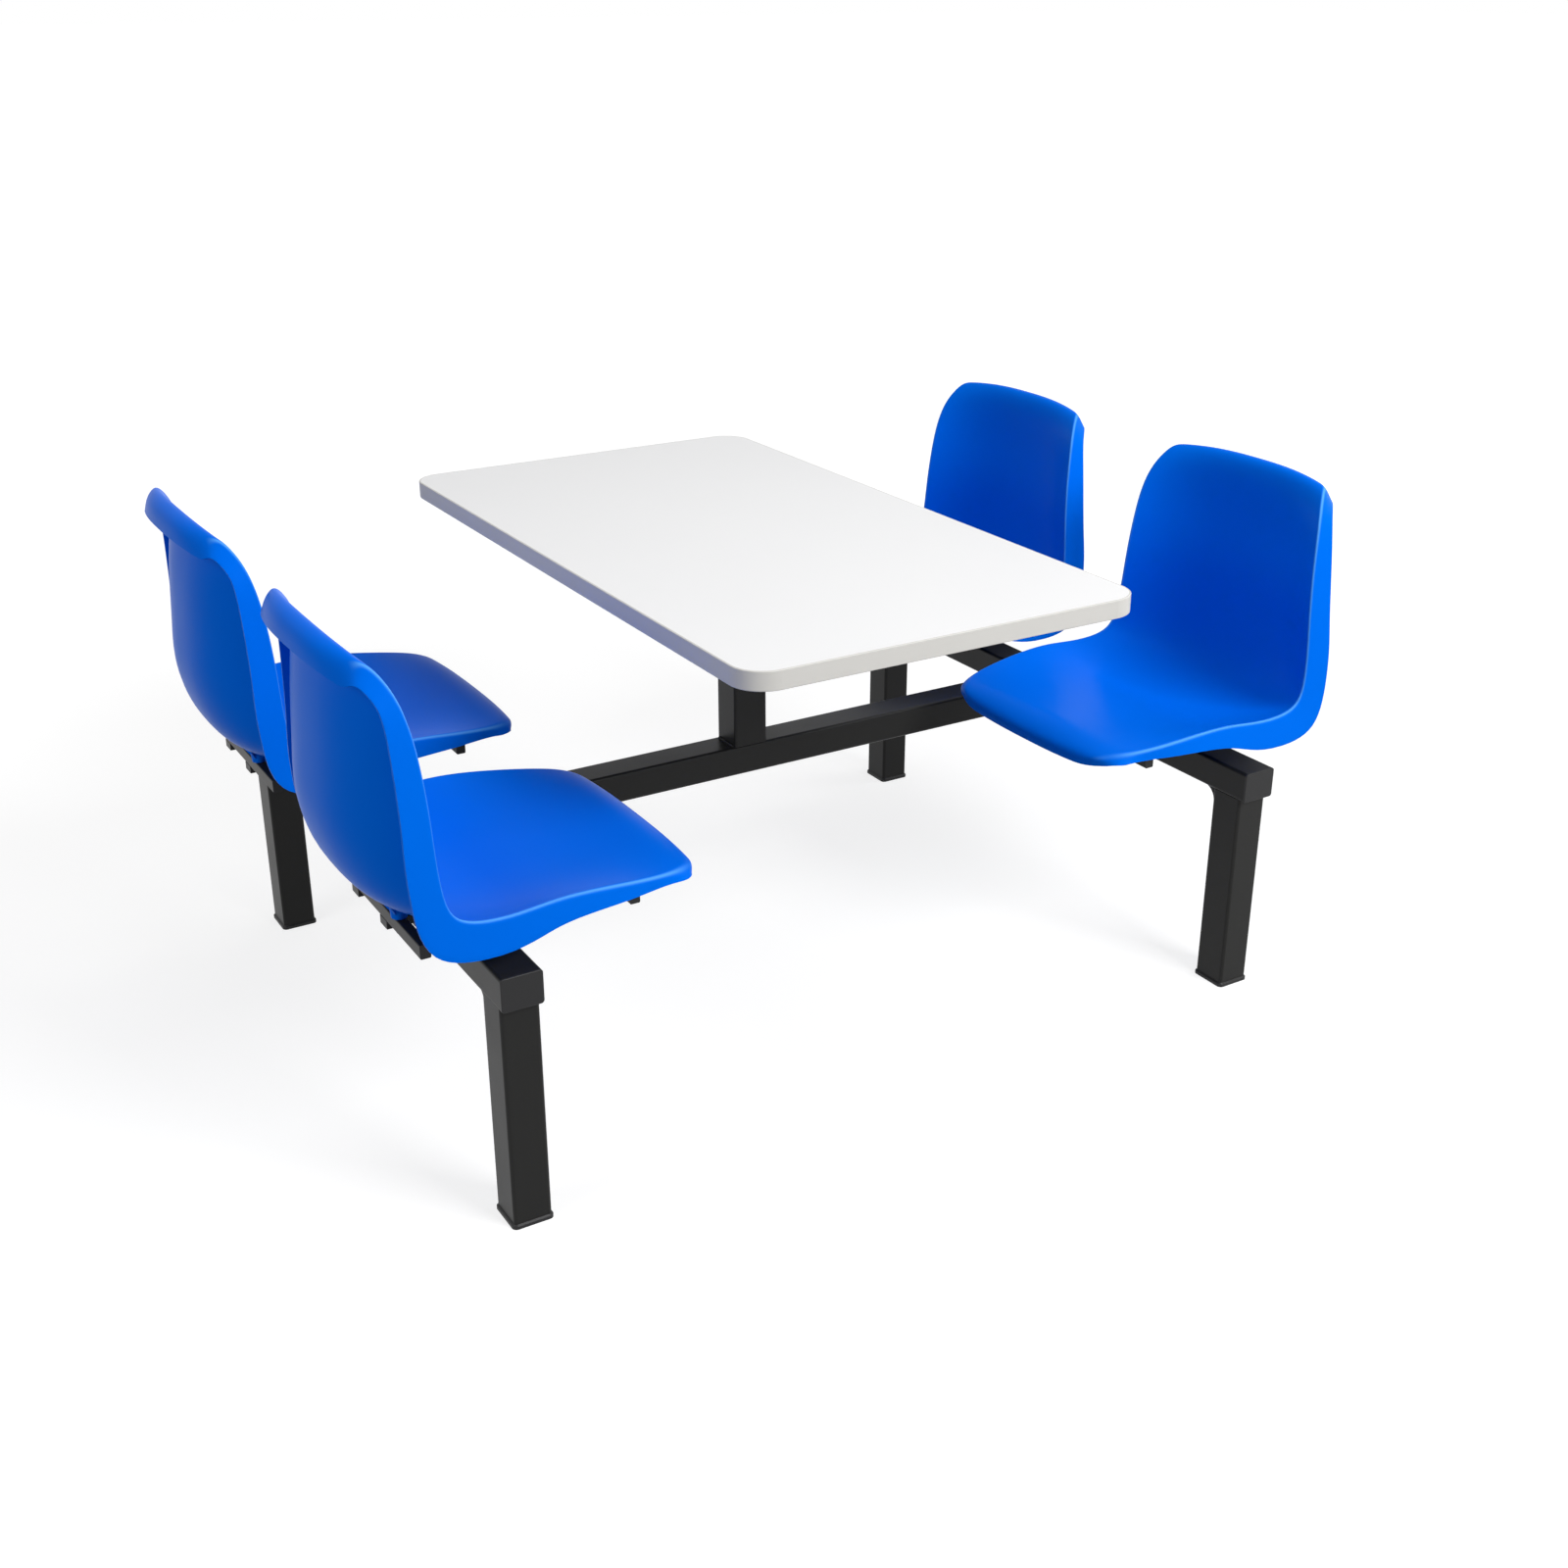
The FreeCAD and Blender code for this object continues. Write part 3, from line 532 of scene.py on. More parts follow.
# %% Nylon, acetal and zinc
nylon_black = finish("nylon_black", (0.011, 0.011, 0.012), (0.035, 0.035, 0.035),
                     skin=(0.0006, 0.48, 0.08, 1.0), drift=(0.20, 0.03),
                     rub=(0.0012, 0.4), bump=0.00004, specular=0.3)
acetal_cream = finish("acetal_cream", (0.70, 0.68, 0.61), (0.78, 0.76, 0.70),
                      skin=(0.0010, 0.40, 0.06, 1.0), drift=(0.05, 0.02),
                      rub=(0.0008, 0.2), bump=0.00001)
zinc_bright = finish("zinc_plate", (0.60, 0.61, 0.62), (0.75, 0.75, 0.76),
                     skin=(0.0009, 0.34, 0.16, 0.15), drift=(0.18, 0.008),
                     rub=(0.0005, 0.3), bump=0.00001, metallic=1.0)
print("finishes:", nylon_black.name, acetal_cream.name, zinc_bright.name)

# %% [markdown]
# ## Dressing the frame
#
# Each solid of the frame already knows which body it moves with. It only needs a finish, and
# the end of its name tells which one.

# %% Finishes by name
FINISH_OF = {
    "table_board": board_brown,
    "table_backer": backer_grey,
    "table_laminate": laminate_white,
    "table_edge_band": band_grey,
    "screws": zinc_bright,
    "spindle": zinc_bright,
    "clip": zinc_bright,
    "bushes": acetal_cream,
    "caps": nylon_black,
    "plugs": nylon_black,
    "foot": nylon_black,
    "shell": seat_blue,
}


def finish_for(node):
    """The finish whose word ends the node's name, or else the powder coat."""
    for ending, material in FINISH_OF.items():
        if node.endswith(ending):
            return material
    return powder_black


for node, piece in frame["nodes"].items():
    for slot in piece.material_slots:
        slot.material = finish_for(node)
print("dressed", len(frame["nodes"]), "nodes")

# %% [markdown]
# ## The seat shell
#
# A shell is one sheet of plastic: a dished pan that runs up into a curled back, with flanges
# turned down along both sides and a rolled lip at the top. The easiest way to describe such
# a form is to follow it from the front edge over the pan and up the back, and to write down
# at a few stations where three lines run: the middle of the panel, the crease at its side,
# and the rim of the flange. Smooth curves through those numbers give every cross-section in
# between, and a grid of points over the sections makes the mesh.

# %% Stations along the shell
SHELL_THICKNESS = 4.5 * MM
CREASE_BLEND = 7.0 * MM
CREASE_FADE = 2.5              # how much wider the round grows where the crease fades out
DISH_POWER = 2.6               # how late the panel rises from its middle to the crease
# Middle forward and up; crease forward, up and out; rim forward, up and out. Millimetres from
# the swivel axis, the top of the rails and the middle of the seat.
SHELL_STATIONS = [
    (298, -10, 291, -8, 152, 278, 1, 188),
    (297, 8, 288, 8, 170, 272, 4, 198),
    (274, 23, 273, 17, 190, 261, 6, 208),
    (235, 25, 236, 23, 209, 232, 8, 214),
    (172, 18, 172, 31, 222, 169, 8, 226),
    (60, 4, 62, 39, 230, 58, 1, 236),
    (-45, 0, -34, 36, 233, -44, -15, 240),
    (-128, 22, -74, 50, 232, -110, 6, 239),
    (-167, 86, -88, 92, 229, -133, 78, 235),
    (-172, 180, -92, 170, 222, -135, 168, 227),
    (-164, 272, -98, 256, 213, -136, 257, 216),
    (-153, 334, -110, 320, 203, -140, 317, 205),
    (-150, 374, -130, 363, 186, -150, 343, 192),
    (-163, 389, -151, 379, 169, -161, 354, 179),
    (-181, 379, -166, 368, 155, -168, 351, 167),
    (-187, 356, -175, 351, 143, -172, 349, 155),
]
print("stations:", len(SHELL_STATIONS))

# %% [markdown]
# A natural cubic spline passes through every number with no kink, and it lies straight at
# its two ends, like a thin batten held by pins.

# %% Batten curve
def batten(knots, values):
    """A natural cubic spline through the values, as a function of the knot variable."""
    last = len(knots) - 1
    gap = [knots[i + 1] - knots[i] for i in range(last)]
    slope = [(values[i + 1] - values[i]) / gap[i] for i in range(last)]
    bend = [0.0] * (last + 1)
    pivot = [1.0] * (last + 1)
    load = [0.0] * (last + 1)
    for i in range(1, last):
        carried = gap[i - 1] / pivot[i - 1] if i > 1 else 0.0
        pivot[i] = 2 * (gap[i - 1] + gap[i]) - carried * gap[i - 1]
        load[i] = 6 * (slope[i] - slope[i - 1]) - carried * load[i - 1]
    for i in range(last - 1, 0, -1):
        bend[i] = (load[i] - gap[i] * bend[i + 1]) / pivot[i]

    def value(t):
        i = max(k for k in range(last) if t >= knots[k] or k == 0)
        a = (knots[i + 1] - t) / gap[i]
        b = 1 - a
        sag = (a ** 3 - a) * bend[i] + (b ** 3 - b) * bend[i + 1]
        return a * values[i] + b * values[i + 1] + sag * gap[i] ** 2 / 6

    return value


def crease_knots():
    """How far along the crease each station stands, in metres."""
    creases = [row[2:5] for row in SHELL_STATIONS]
    knots = [0.0]
    for before, after in zip(creases, creases[1:]):
        knots.append(knots[-1] + math.dist(before, after) * MM)
    return knots


KNOTS = crease_knots()
LINES = [batten(KNOTS, [v * MM for v in column]) for column in zip(*SHELL_STATIONS)]
print("length along the crease:", round(KNOTS[-1], 3), "m")

# %% [markdown]
# One cross-section, from the middle outwards: the dished panel, a round blend at the crease,
# and the straight flange. The hidden face lies one wall thickness behind each of the two. At
# the front corners and at the ends of the lip the flange turns into line with the panel, so
# the crease fades out there and its blend grows.

# %% One cross-section
PANEL_STEPS = 16
BLEND_STEPS = 8
FLANGE_STEPS = 6
BLEND_SHARE = 0.6              # of the flange that the blend may take
CROWD = 1.5                    # crowds the panel's points towards the crease
# The pale line along the crease is a painted highlight.
CREASE_HIGHLIGHT_FADE = 2                   # how soon the pale line ends where the crease fades out
CREASE_HIGHLIGHT_POWER = 4                  # a higher power makes the pale line narrower
SLOPE_STEP = KNOTS[-1] / 2000  # a line's direction is read this far to both sides


def guides(t):
    """Middle of the panel, crease and rim at one place along the shell."""
    xm, zm, xc, zc, yc, xr, zr, yr = [line(t) for line in LINES]
    return Vector((xm, 0, zm)), Vector((xc, yc, zc)), Vector((xr, yr, zr))


def half_section(t, hidden):
    """Points from panel middle to rim, each with its share of the painted crease highlight."""
    middle, crease, rim = guides(t)
    before, after = guides(t - SLOPE_STEP), guides(t + SLOPE_STEP)
    middle_run, crease_run, rim_run = [b - a for a, b in zip(before, after)]
    middle_run.normalize()
    behind = Vector((-middle_run.z, 0, middle_run.x))
    inward = (crease_run + rim_run).cross(rim - crease).normalized()
    alike = behind.dot(inward)  # 1 where the flange is in line with the panel, 0 where square
    blend = CREASE_BLEND * (1 + CREASE_FADE * alike ** 2)
    if hidden:
        middle = middle + behind * SHELL_THICKNESS
        crease = crease + (behind + inward) * (SHELL_THICKNESS / (1 + alike))
        rim = rim + inward * SHELL_THICKNESS
        blend = blend - SHELL_THICKNESS * math.sqrt((1 - alike) / (1 + alike))
    blend = min(blend, BLEND_SHARE * (rim - crease).length)
    outward = Vector((0, 1, 0))
    lift = Vector((crease.x - middle.x, 0, crease.z - middle.z))
    edge = 1 - blend / crease.y

    def panel(a):
        return middle + outward * (crease.y * a) + lift * a ** DISH_POWER

    points = [(panel(edge * (1 - (1 - i / PANEL_STEPS) ** CROWD)), 0) for i in range(PANEL_STEPS)]
    start = panel(edge)
    finish_point = crease + (rim - crease).normalized() * blend
    # The painted highlight is strongest where the crease is sharp and fades where it flattens.
    sharp = 0 if hidden else max(0, 1 - CREASE_HIGHLIGHT_FADE * alike ** 2)
    for i in range(BLEND_STEPS + 1):
        u = i / BLEND_STEPS
        spot = start * (1 - u) ** 2 + crease * (2 * u * (1 - u)) + finish_point * u ** 2
        points.append((spot, sharp * math.sin(math.pi * u) ** CREASE_HIGHLIGHT_POWER))
    for i in range(1, FLANGE_STEPS + 1):
        points.append((finish_point.lerp(rim, i / FLANGE_STEPS), 0))
    return points


def whole_section(t, hidden):
    """The points from rim to rim."""
    half = half_section(t, hidden)
    # Each point carries its share of the painted crease highlight.
    mirrored = [(Vector((p.x, -p.y, p.z)), rub) for p, rub in reversed(half[1:])]
    return mirrored + half


print("points in a section:", len(whole_section(0.1, False)))

# %% [markdown]
# The two faces of the sheet are joined round the border, and the edges of the border are then
# beveled. A moulding never has a square rim: the tool's parting line sits there and the edge
# is eased so that it doesn't cut. Two things cut the bevel short here. It is told to stop
# before faces cross (clamp_overlap), which leaves about 0.3 mm. And it steers by the normals
# of the faces, which new faces lack until they are worked out. Here that comes only after the
# bevel, so the straight stretches of the rim stay square, with faces of no area along them.

# %% The sheet and its rims
ROWS_PER_STATION = 7
RIM_EASE = 1.7 * MM            # asked for, and cut short as told above


def sheet_rows():
    """The places along the shell at which a section is made."""
    rows = []
    for first, last in zip(KNOTS, KNOTS[1:]):
        rows += [first + (last - first) * i / ROWS_PER_STATION for i in range(ROWS_PER_STATION)]
    return rows + [KNOTS[-1]]


def shell_sheet():
    """The sheet in its own frame: forward is +X, with the swivel axis and rail top at 0."""
    rows = sheet_rows()
    mesh = bmesh.new()
    # Each point stores its share of the painted crease highlight.
    crease_rub = mesh.verts.layers.float.new("crease_rub")

    def point(place, rub):
        vertex = mesh.verts.new(place)
        vertex[crease_rub] = rub
        return vertex

    shown, back = [[[point(*spot) for spot in whole_section(t, hidden)] for t in rows]
                   for hidden in (False, True)]
    wide = len(shown[0])
    for i in range(len(rows) - 1):
        for j in range(wide - 1):
            mesh.faces.new((shown[i][j], shown[i][j + 1], shown[i + 1][j + 1], shown[i + 1][j]))
            mesh.faces.new((back[i][j], back[i + 1][j], back[i + 1][j + 1], back[i][j + 1]))
    border = [(0, j) for j in range(wide - 1)]
    border += [(i, wide - 1) for i in range(len(rows) - 1)]
    border += [(len(rows) - 1, j) for j in range(wide - 1, 0, -1)]
    border += [(i, 0) for i in range(len(rows) - 1, 0, -1)]
    for k, (i, j) in enumerate(border):
        m, n = border[(k + 1) % len(border)]
        mesh.faces.new((shown[i][j], back[i][j], back[m][n], shown[m][n]))
    rim_edges = []
    for grid in (shown, back):
        for k, (i, j) in enumerate(border):
            m, n = border[(k + 1) % len(border)]
            rim_edges.append(mesh.edges.get((grid[i][j], grid[m][n])))
    bmesh.ops.bevel(mesh, geom=rim_edges, offset=RIM_EASE, segments=3, profile=0.5,
                    affect="EDGES", clamp_overlap=True)
    bmesh.ops.recalc_face_normals(mesh, faces=mesh.faces)
    return mesh


sheet = shell_sheet()
print("sheet:", len(sheet.verts), "points,", len(sheet.faces), "faces")

# %% [markdown]
# ## Bosses under the pan
#
# Four round bosses stand on the carrier's rails and take the seat screws. Each has a slight
# draft, so that it leaves the tool, and four webs that spread its load into the pan. A ray
# cast upwards finds where the pan's hidden face is above each point, and that is where the
# boss and its webs end, a little way into the wall.

# %% Bosses and webs
BOSS_RADIUS = 11.0 * MM
BOSS_DRAFT = 1.2 * MM          # how much wider the boss is at the pan
BOSS_EASE = 0.8 * MM
BOSS_SPACING = 200.0 * MM      # between the two bosses on one rail
BOSS_SINK = 1.5 * MM           # how far the boss runs into the wall of the pan
SCREW_HOLE = 3.0 * MM          # radius
WEB_REACH = 17.0 * MM
WEB_WIDTH = 2.4 * MM
WEB_ROOT = 1.5 * MM            # how far the web starts inside the boss
WEB_FOOT = 5.0 * MM            # the web starts this far above the rail
RAIL_WIDTH = 15.0 * MM
RAY_START = -0.1               # well below the pan
ROUND_STEPS = 40
# Each seat's body, and the place of the axis that it turns about.
SEATS = {j["child"]: Vector(j["pos_m"]) for j in frame["joints"]}


def add_ring(mesh, centre, radius, heights):
    """A ring of points round an upright axis. heights is one value or a function of (x, y)."""
    ring = []
    for k in range(ROUND_STEPS):
        turn = 2 * math.pi * k / ROUND_STEPS
        x = centre[0] + radius * math.cos(turn)
        y = centre[1] + radius * math.sin(turn)
        z = heights(x, y) if callable(heights) else heights
        ring.append(mesh.verts.new((x, y, z)))
    return ring


def bridge(mesh, lower, upper):
    """Faces between two rings with the same number of points."""
    count = len(lower)
    for k in range(count):
        after = (k + 1) % count
        mesh.faces.new((lower[k], lower[after], upper[after], upper[k]))


def add_boss(mesh, ceiling, x, y):
    """A boss with its hole and four webs. ceiling gives the pan's height at x and y."""
    centre = (x, y)
    hole_top = add_ring(mesh, centre, SCREW_HOLE, lambda px, py: ceiling(px, py) + BOSS_SINK / 2)
    hole = add_ring(mesh, centre, SCREW_HOLE, 0.0)
    foot = add_ring(mesh, centre, BOSS_RADIUS - BOSS_EASE, 0.0)
    side = add_ring(mesh, centre, BOSS_RADIUS, BOSS_EASE)
    top = add_ring(mesh, centre, BOSS_RADIUS + BOSS_DRAFT,
                   lambda px, py: ceiling(px, py) + BOSS_SINK)
    bridge(mesh, hole_top, hole)
    bridge(mesh, hole, foot)
    bridge(mesh, foot, side)
    bridge(mesh, side, top)
    bridge(mesh, top, hole_top)
    for k in range(4):
        turn = math.pi / 4 + k * math.pi / 2
        add_web(mesh, ceiling, centre, Vector((math.cos(turn), math.sin(turn))))


def add_web(mesh, ceiling, centre, way):
    """A three-cornered web that leaves the boss along way and ends at the pan."""
    across = Vector((-way.y, way.x)) * WEB_WIDTH / 2
    start = BOSS_RADIUS - WEB_ROOT
    corners = []
    for out, low in ((start, WEB_FOOT), (start, None), (start + WEB_REACH, None)):
        for side in (-1, 1):
            x = centre[0] + way.x * out + across.x * side
            y = centre[1] + way.y * out + across.y * side
            top = ceiling(x, y) + BOSS_SINK
            corners.append(mesh.verts.new((x, y, top if low is None else min(low, top - MM))))
    a, b, c, d, e, f = corners
    mesh.faces.new((a, c, e))
    mesh.faces.new((b, f, d))
    mesh.faces.new((a, b, d, c))
    mesh.faces.new((c, d, f, e))
    mesh.faces.new((e, f, b, a))


def rail_places():
    """Where the two rails lie forward of the swivel axis, and the height of their tops."""
    low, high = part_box("near_left_rails")
    axis = SEATS["near_left_seat"]
    half = RAIL_WIDTH / 2
    return [low.x - axis.x + half, high.x - axis.x - half], high.z


def finished_mesh(mesh, name):
    """Turns all faces outwards and moves the points and faces into a mesh of the scene."""
    bmesh.ops.recalc_face_normals(mesh, faces=mesh.faces)
    made = bpy.data.meshes.new(name)
    mesh.to_mesh(made)
    mesh.free()
    return made


RAIL_PLACES, RAIL_TOP = rail_places()
tree_of_sheet = BVHTree.FromBMesh(sheet)


def pan_underside(x, y):
    """The height of the pan's hidden face above the rails, at one place."""
    hit = tree_of_sheet.ray_cast(Vector((x, y, RAY_START)), Vector((0, 0, 1)))[0]
    return hit.z


for x in RAIL_PLACES:
    for y in (-BOSS_SPACING / 2, BOSS_SPACING / 2):
        add_boss(sheet, pan_underside, x, y)
        print("boss at", round(x, 3), "height", round(pan_underside(x, y), 4))
shell_mesh = finished_mesh(sheet, "seat_moulding")

# %% [markdown]
# ## Four shells, facing the table
#
# All seats come from the same tool. The left ones face +X and the right ones are turned half
# a turn. Smooth shading would smear across the rims and bosses, so only edges flatter than
# 40 degrees are shaded as one surface.

# %% Place the shells
SMOOTH_BELOW = math.radians(40)


def seat_matrix(axis):
    """From the shell's own frame to its place, with the front towards the table."""
    facing = 0.0 if axis.x < 0 else math.pi
    return Matrix.Translation((axis.x, axis.y, RAIL_TOP)) @ Matrix.Rotation(facing, 4, "Z")


def show(mesh, name, material, body, matrix=None):
    """Links a mesh as a smooth-shaded piece that rides on a body."""
    if matrix is not None:
        mesh = mesh.copy()
        mesh.transform(matrix)
    mesh.materials.append(material)
    mesh.shade_smooth()
    mesh.set_sharp_from_angle(angle=SMOOTH_BELOW)
    piece = bpy.data.objects.new(name, mesh)
    bpy.context.scene.collection.objects.link(piece)
    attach(piece, body)
    return piece


for body, axis in SEATS.items():
    short = body.replace("_seat", "")
    moulding = show(shell_mesh, short + "_moulding", seat_blue, body, seat_matrix(axis))
    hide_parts(short + "_shell")
    print(moulding.name, "rides on", body)

# %% [markdown]
# ## Weld beads
#
# The frame is welded before it is coated, so each joint shows a small rounded bead with the
# ripple that the welder's hand leaves. A bead is a quarter-round swept along the joint. Its
# radius swells and shrinks a little every couple of millimetres.

# %% Bead along a route
BEAD_RADIUS = 3.2 * MM
RIPPLE_PITCH = 2.2 * MM
RIPPLE_SHARE = 0.10            # of the radius
BEAD_STEP = 0.55 * MM
BEAD_FEWEST = 8                # steps in the shortest bead
BEAD_ARC = 5                   # steps over the quarter-round
BEAD_ROOT = 0.4 * MM           # how far the bead's root lies in the corner
BEAD_BLUNT = 0.15              # its square root is the share of the radius left at an end


def ripple(along):
    """The bead's swell at a distance along its route."""
    return 1 + RIPPLE_SHARE * math.sin(2 * math.pi * along / RIPPLE_PITCH)


def bead_section(mesh, spot, away, up, size):
    """A quarter-round of points: the root in the corner, then the arc from up to away."""
    ring = [mesh.verts.new(spot - (away + up) * BEAD_ROOT)]
    for k in range(BEAD_ARC + 1):
        turn = k / BEAD_ARC * math.pi / 2
        ring.append(mesh.verts.new(spot + away * (size * math.sin(turn))
                                   + up * (size * math.cos(turn))))
    return ring


def lay_bead(mesh, start, end, away, up, radius=BEAD_RADIUS):
    """A straight bead from start to end in the corner between a wall and a base.

    away points from the wall, up from the base. The ends taper down.
    """
    run = (end - start).length
    steps = max(BEAD_FEWEST, int(run / BEAD_STEP))
    rings = []
    for i in range(steps + 1):
        along = run * i / steps
        taper = min(1.0, min(along, run - along) / radius + BEAD_BLUNT)
        size = radius * ripple(along) * math.sqrt(taper)
        rings.append(bead_section(mesh, start.lerp(end, i / steps), away, up, size))
    for ring, after in zip(rings, rings[1:]):
        bridge(mesh, ring, after)
    mesh.faces.new(rings[0])
    mesh.faces.new(list(reversed(rings[-1])))


X, Y, Z = Vector((1, 0, 0)), Vector((0, 1, 0)), Vector((0, 0, 1))
print("bead ripple:", RIPPLE_PITCH / MM, "mm")

# %% [markdown]
# The beads of the frame: the post on the beam and under its top plate, the ends of the main
# beam, the legs, and the swivel housings. Every place is read from the frame's own boxes.

# %% Welds of the frame
TUBE_CORNER = 5.0 * MM         # a bead stops this far before the tube's corner
HOUSING_BEAD = 1.4 * MM


def beads_round_tube(mesh, low, high, level, up, sides):
    """Beads on the chosen sides of an upright tube, at one level."""
    for way in sides:
        across = Vector((abs(way.y), abs(way.x), 0))
        middle = (low + high) / 2
        middle.z = level
        reach = (high - low) / 2
        centre = middle + Vector((way.x * reach.x, way.y * reach.y, 0))
        half = across.x * reach.x + across.y * reach.y - TUBE_CORNER
        lay_bead(mesh, centre - across * half, centre + across * half, way, up)


def ring_bead(mesh, centre, radius, size):
    """A closed quarter-round bead where a round housing stands on the beam."""
    steps = int(2 * math.pi * radius / BEAD_STEP)
    rings = []
    for i in range(steps):
        turn = 2 * math.pi * i / steps
        away = Vector((math.cos(turn), math.sin(turn), 0))
        spot = centre + away * radius
        rings.append(bead_section(mesh, spot, away, Z, size * ripple(radius * turn)))
    for i in range(steps):
        bridge(mesh, rings[i], rings[(i + 1) % steps])


def frame_welds():
    """The beads of the post, the ends of the main beam, the legs and the housings."""
    mesh = bmesh.new()
    low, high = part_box("centre_post")
    beads_round_tube(mesh, low, high, low.z, Z, (X, -X))
    beads_round_tube(mesh, low, high, high.z, -Z, (X, -X, Y, -Y))
    low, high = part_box("main_beam")
    beam_top = high.z
    for end_x, back in ((low.x, X), (high.x, -X)):
        for side_y, way in ((low.y, -Y), (high.y, Y)):
            lay_bead(mesh, Vector((end_x, side_y, low.z + TUBE_CORNER)),
                     Vector((end_x, side_y, high.z - TUBE_CORNER)), way, back)
    for end, outer in (("near", -Y), ("far", Y)):
        for side in ("left", "right"):
            low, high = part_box(end + "_" + side + "_leg")
            beads_round_tube(mesh, low, high, high.z, -Z, (outer,))
    low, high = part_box("near_left_swivel_housing")
    for axis in SEATS.values():
        ring_bead(mesh, Vector((axis.x, axis.y, beam_top)), (high.x - low.x) / 2, HOUSING_BEAD)
    return finished_mesh(mesh, "frame_welds")


welds = show(frame_welds(), "frame_welds", powder_black, "frame")
print("frame welds:", len(welds.data.vertices), "points")

# %% [markdown]
# Each carrier has its own welds: two stitches on each side of an arm where it crosses the
# swivel plate, and one across each arm under each rail.

# %% Welds of the carriers
STITCH = 34.0 * MM
STITCH_INSET = 6.0 * MM        # from the end of the swivel plate
ARM_INSET = 2.0 * MM           # from the edge of an arm
ARM_WIDTH = 25.0 * MM
CARRIER_BEAD = 2.4 * MM


def carrier_welds(short, axis):
    """The beads of one seat's carrier."""
    mesh = bmesh.new()
    plate_low, plate_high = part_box(short + "_swivel_plate")
    arms_low, arms_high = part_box(short + "_arms")
    rail_low, rail_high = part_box(short + "_rails")
    half_plate = (plate_high.x - plate_low.x) / 2
    for side in (-1, 1):
        arm_y = axis.y + side * ((arms_high.y - arms_low.y) / 2 - ARM_WIDTH / 2)
        for face in (-1, 1):
            for end in (-1, 1):
                centre = Vector((axis.x + end * (half_plate - STITCH / 2 - STITCH_INSET),
                                 arm_y + face * ARM_WIDTH / 2, arms_low.z))
                lay_bead(mesh, centre - X * STITCH / 2, centre + X * STITCH / 2, Y * face, Z,
                         CARRIER_BEAD)
        for wall_x, way in ((rail_low.x + RAIL_WIDTH, X), (rail_high.x - RAIL_WIDTH, -X)):
            start = Vector((wall_x, arm_y - ARM_WIDTH / 2 + ARM_INSET, arms_high.z))
            end = Vector((wall_x, arm_y + ARM_WIDTH / 2 - ARM_INSET, arms_high.z))
            lay_bead(mesh, start, end, way, Z, CARRIER_BEAD)
    return finished_mesh(mesh, short + "_carrier_welds")


for body, axis in SEATS.items():
    short = body.replace("_seat", "")
    welds = show(carrier_welds(short, axis), short + "_carrier_welds", powder_black, body)
print("carrier welds done")

# %% [markdown]
# ## Screws with a real drive
#
# The solids only say how long and how thick each screw is. A real one has a domed head with
# a hexagon socket, a threaded shank and a short point. It is turned like a piece on a lathe,
# ring by ring, and the socket is a ring bent into a hexagon and pushed in.

# %% Turned screw
THREAD_PITCH = 1.6 * MM
THREAD_DEPTH = 0.35 * MM
THREAD_START = 2.5 * MM        # the shank is plain below this height
TIP_SHARE = 0.35               # the tip's radius, of the shank's
SOCKET_SHARE = 0.44            # half the hexagon's width, of the head's radius
SOCKET_DEPTH = 0.62            # of the head's height
SOCKET_FLOOR = 0.4             # the ring on the socket's floor, of the hexagon
DOME_FLAT = 0.72               # the radius at which the dome begins, of the head's
DOME_SIDE = 0.35               # the height at which the dome ends, of the head's
DOME_STEPS = 4


def hexagon_radius(turn, flat):
    """Distance from the centre to a hexagon's side in one direction. flat is half across."""
    sector = math.pi / 3
    return flat / math.cos((turn % sector) - sector / 2)


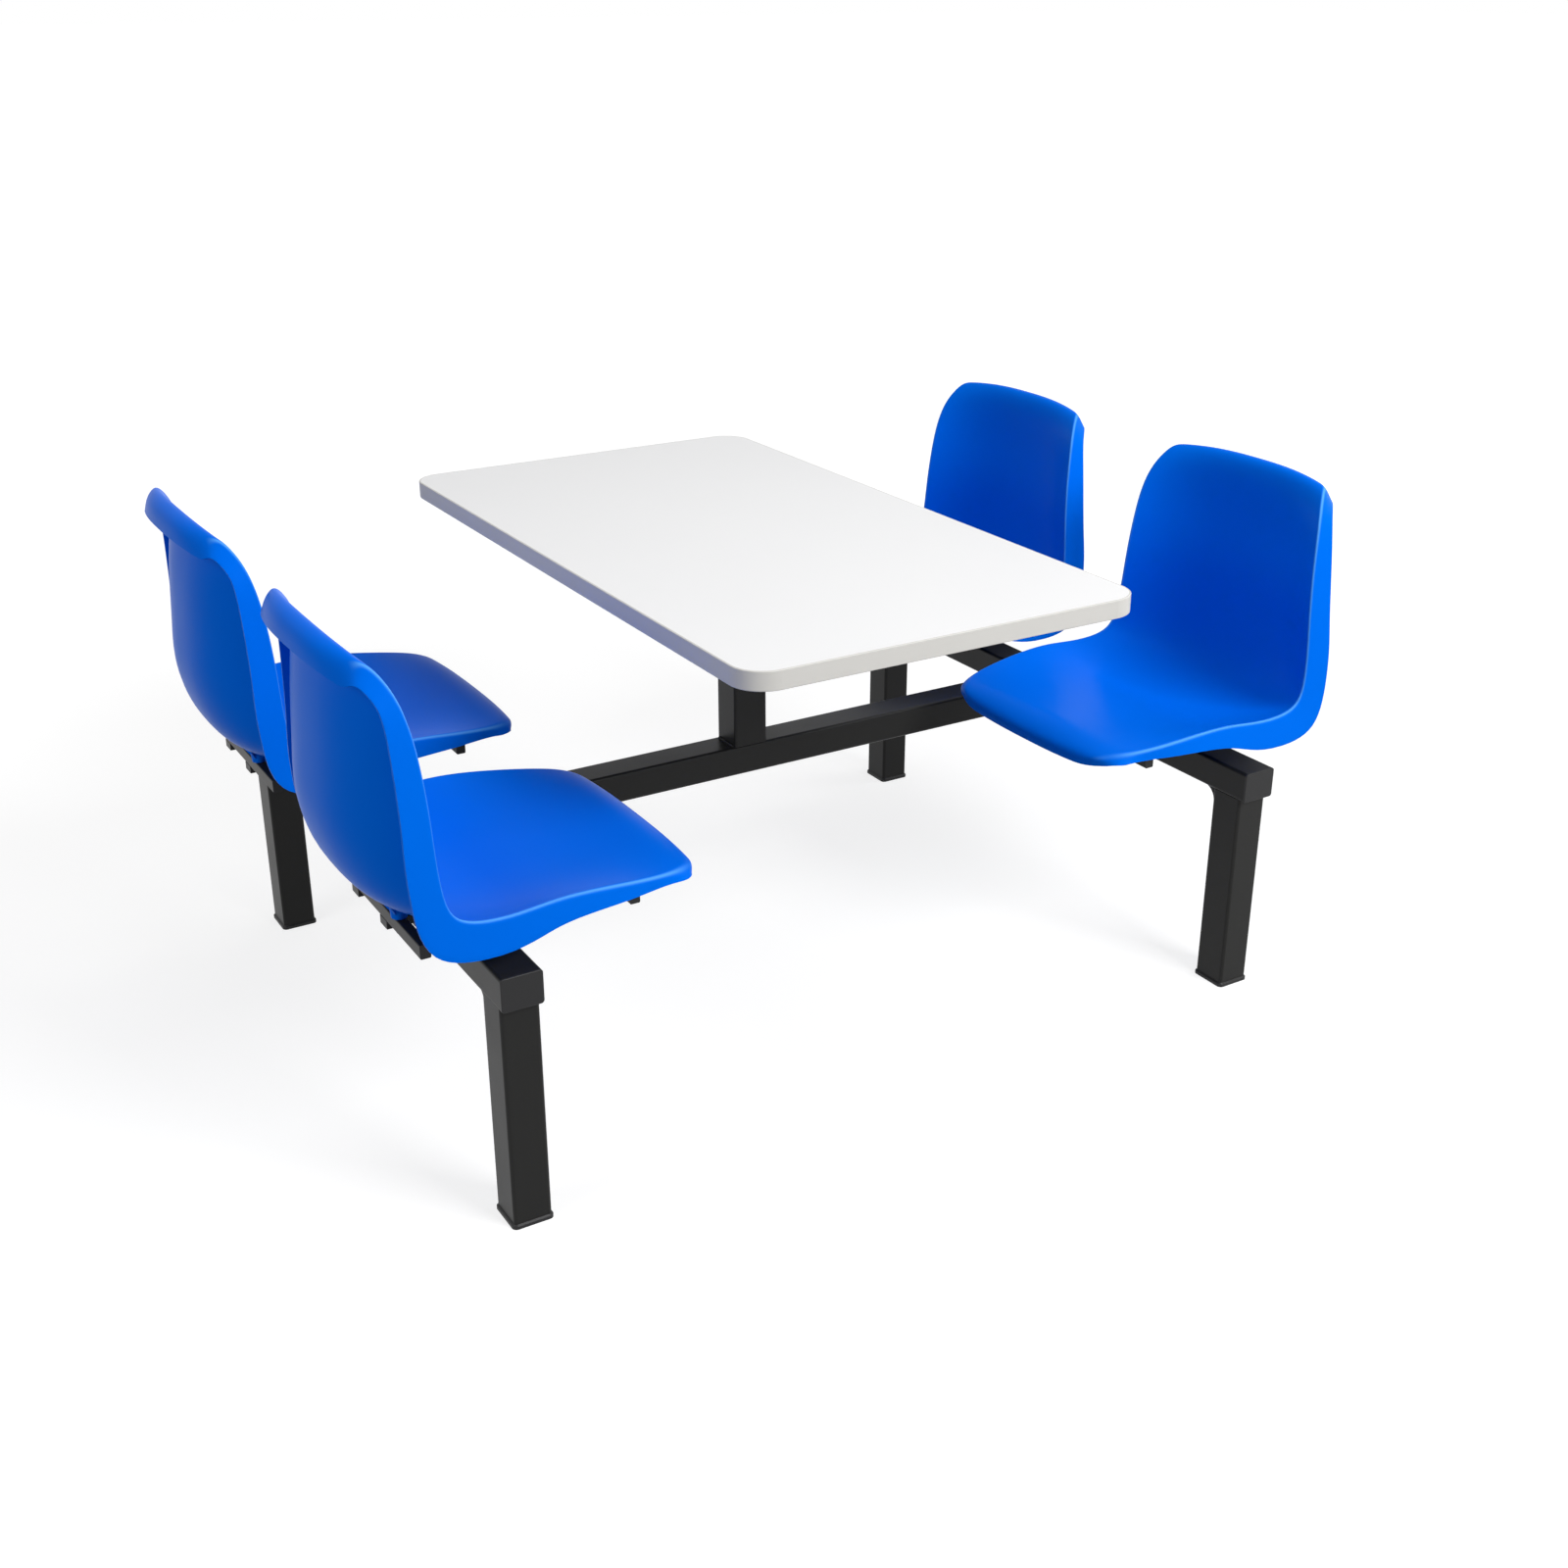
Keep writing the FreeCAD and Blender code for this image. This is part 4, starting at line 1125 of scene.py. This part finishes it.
def add_screw(mesh, place, head_radius, head_height, shank_radius, length):
    """A screw that points up from place, the middle of the head's seat."""
    socket_floor = head_height * SOCKET_DEPTH - head_height

    def lathe_ring(radius, z):
        ring = []
        for k in range(ROUND_STEPS):
            turn = 2 * math.pi * k / ROUND_STEPS
            r = radius(turn) if callable(radius) else radius
            ring.append(mesh.verts.new(place + Vector((r * math.cos(turn), r * math.sin(turn), z))))
        return ring

    def socket(turn):
        return hexagon_radius(turn, head_radius * SOCKET_SHARE)

    rings = [lathe_ring(lambda turn: SOCKET_FLOOR * socket(turn), socket_floor),
             lathe_ring(socket, socket_floor), lathe_ring(socket, -head_height)]
    for k in range(DOME_STEPS + 1):
        lean = k / DOME_STEPS * math.pi / 2
        rings.append(lathe_ring(head_radius * (DOME_FLAT + (1 - DOME_FLAT) * math.sin(lean)),
                                -head_height * (DOME_SIDE + (1 - DOME_SIDE) * math.cos(lean))))
    rings.append(lathe_ring(head_radius, 0.0))
    rings.append(lathe_ring(shank_radius, 0.0))
    z = THREAD_START
    while z < length - 2 * THREAD_PITCH:
        rings.append(lathe_ring(shank_radius - THREAD_DEPTH, z))
        rings.append(lathe_ring(shank_radius, z + THREAD_PITCH / 2))
        z += THREAD_PITCH
    rings.append(lathe_ring(shank_radius - THREAD_DEPTH, length - THREAD_PITCH))
    rings.append(lathe_ring(shank_radius * TIP_SHARE, length))
    for lower, upper in zip(rings, rings[1:]):
        bridge(mesh, lower, upper)
    mesh.faces.new(list(reversed(rings[0])))
    mesh.faces.new(rings[-1])


def show_screws(name, places, sizes, body):
    """All the screws of one set as one piece."""
    mesh = bmesh.new()
    for place in places:
        add_screw(mesh, place, *sizes)
    return show(finished_mesh(mesh, name), name, zinc_bright, body)


print("thread pitch:", THREAD_PITCH / MM, "mm")

# %% Seat screws and table screws
# Radius and height of the head, and radius of the shank.
SEAT_SCREW = (6.0 * MM, 3.5 * MM, 3.0 * MM)
TABLE_SCREW = (5.0 * MM, 3.0 * MM, 2.5 * MM)

for body, axis in SEATS.items():
    short = body.replace("_seat", "")
    low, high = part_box(short + "_seat_screws")
    seat_z = low.z + SEAT_SCREW[1]
    facing = 1 if axis.x < 0 else -1
    places = [Vector((axis.x + facing * x, axis.y + y * BOSS_SPACING / 2, seat_z))
              for x in RAIL_PLACES for y in (-1, 1)]
    screws = show_screws(short + "_fixings", places, (*SEAT_SCREW, high.z - seat_z), body)
    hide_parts(short + "_seat_screws")
    print(body, "has", len(places), "screws")

low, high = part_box("table_screws")
seat_z = low.z + TABLE_SCREW[1]
side_x = high.x - TABLE_SCREW[0]
side_y = high.y - TABLE_SCREW[0]
places = [Vector((x, y, seat_z)) for x in (-side_x, side_x) for y in (-side_y, 0, side_y)]
screws = show_screws("table_fixings", places, (*TABLE_SCREW, high.z - seat_z), "frame")
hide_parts("table_screws")
print("the table has", len(places), "screws")
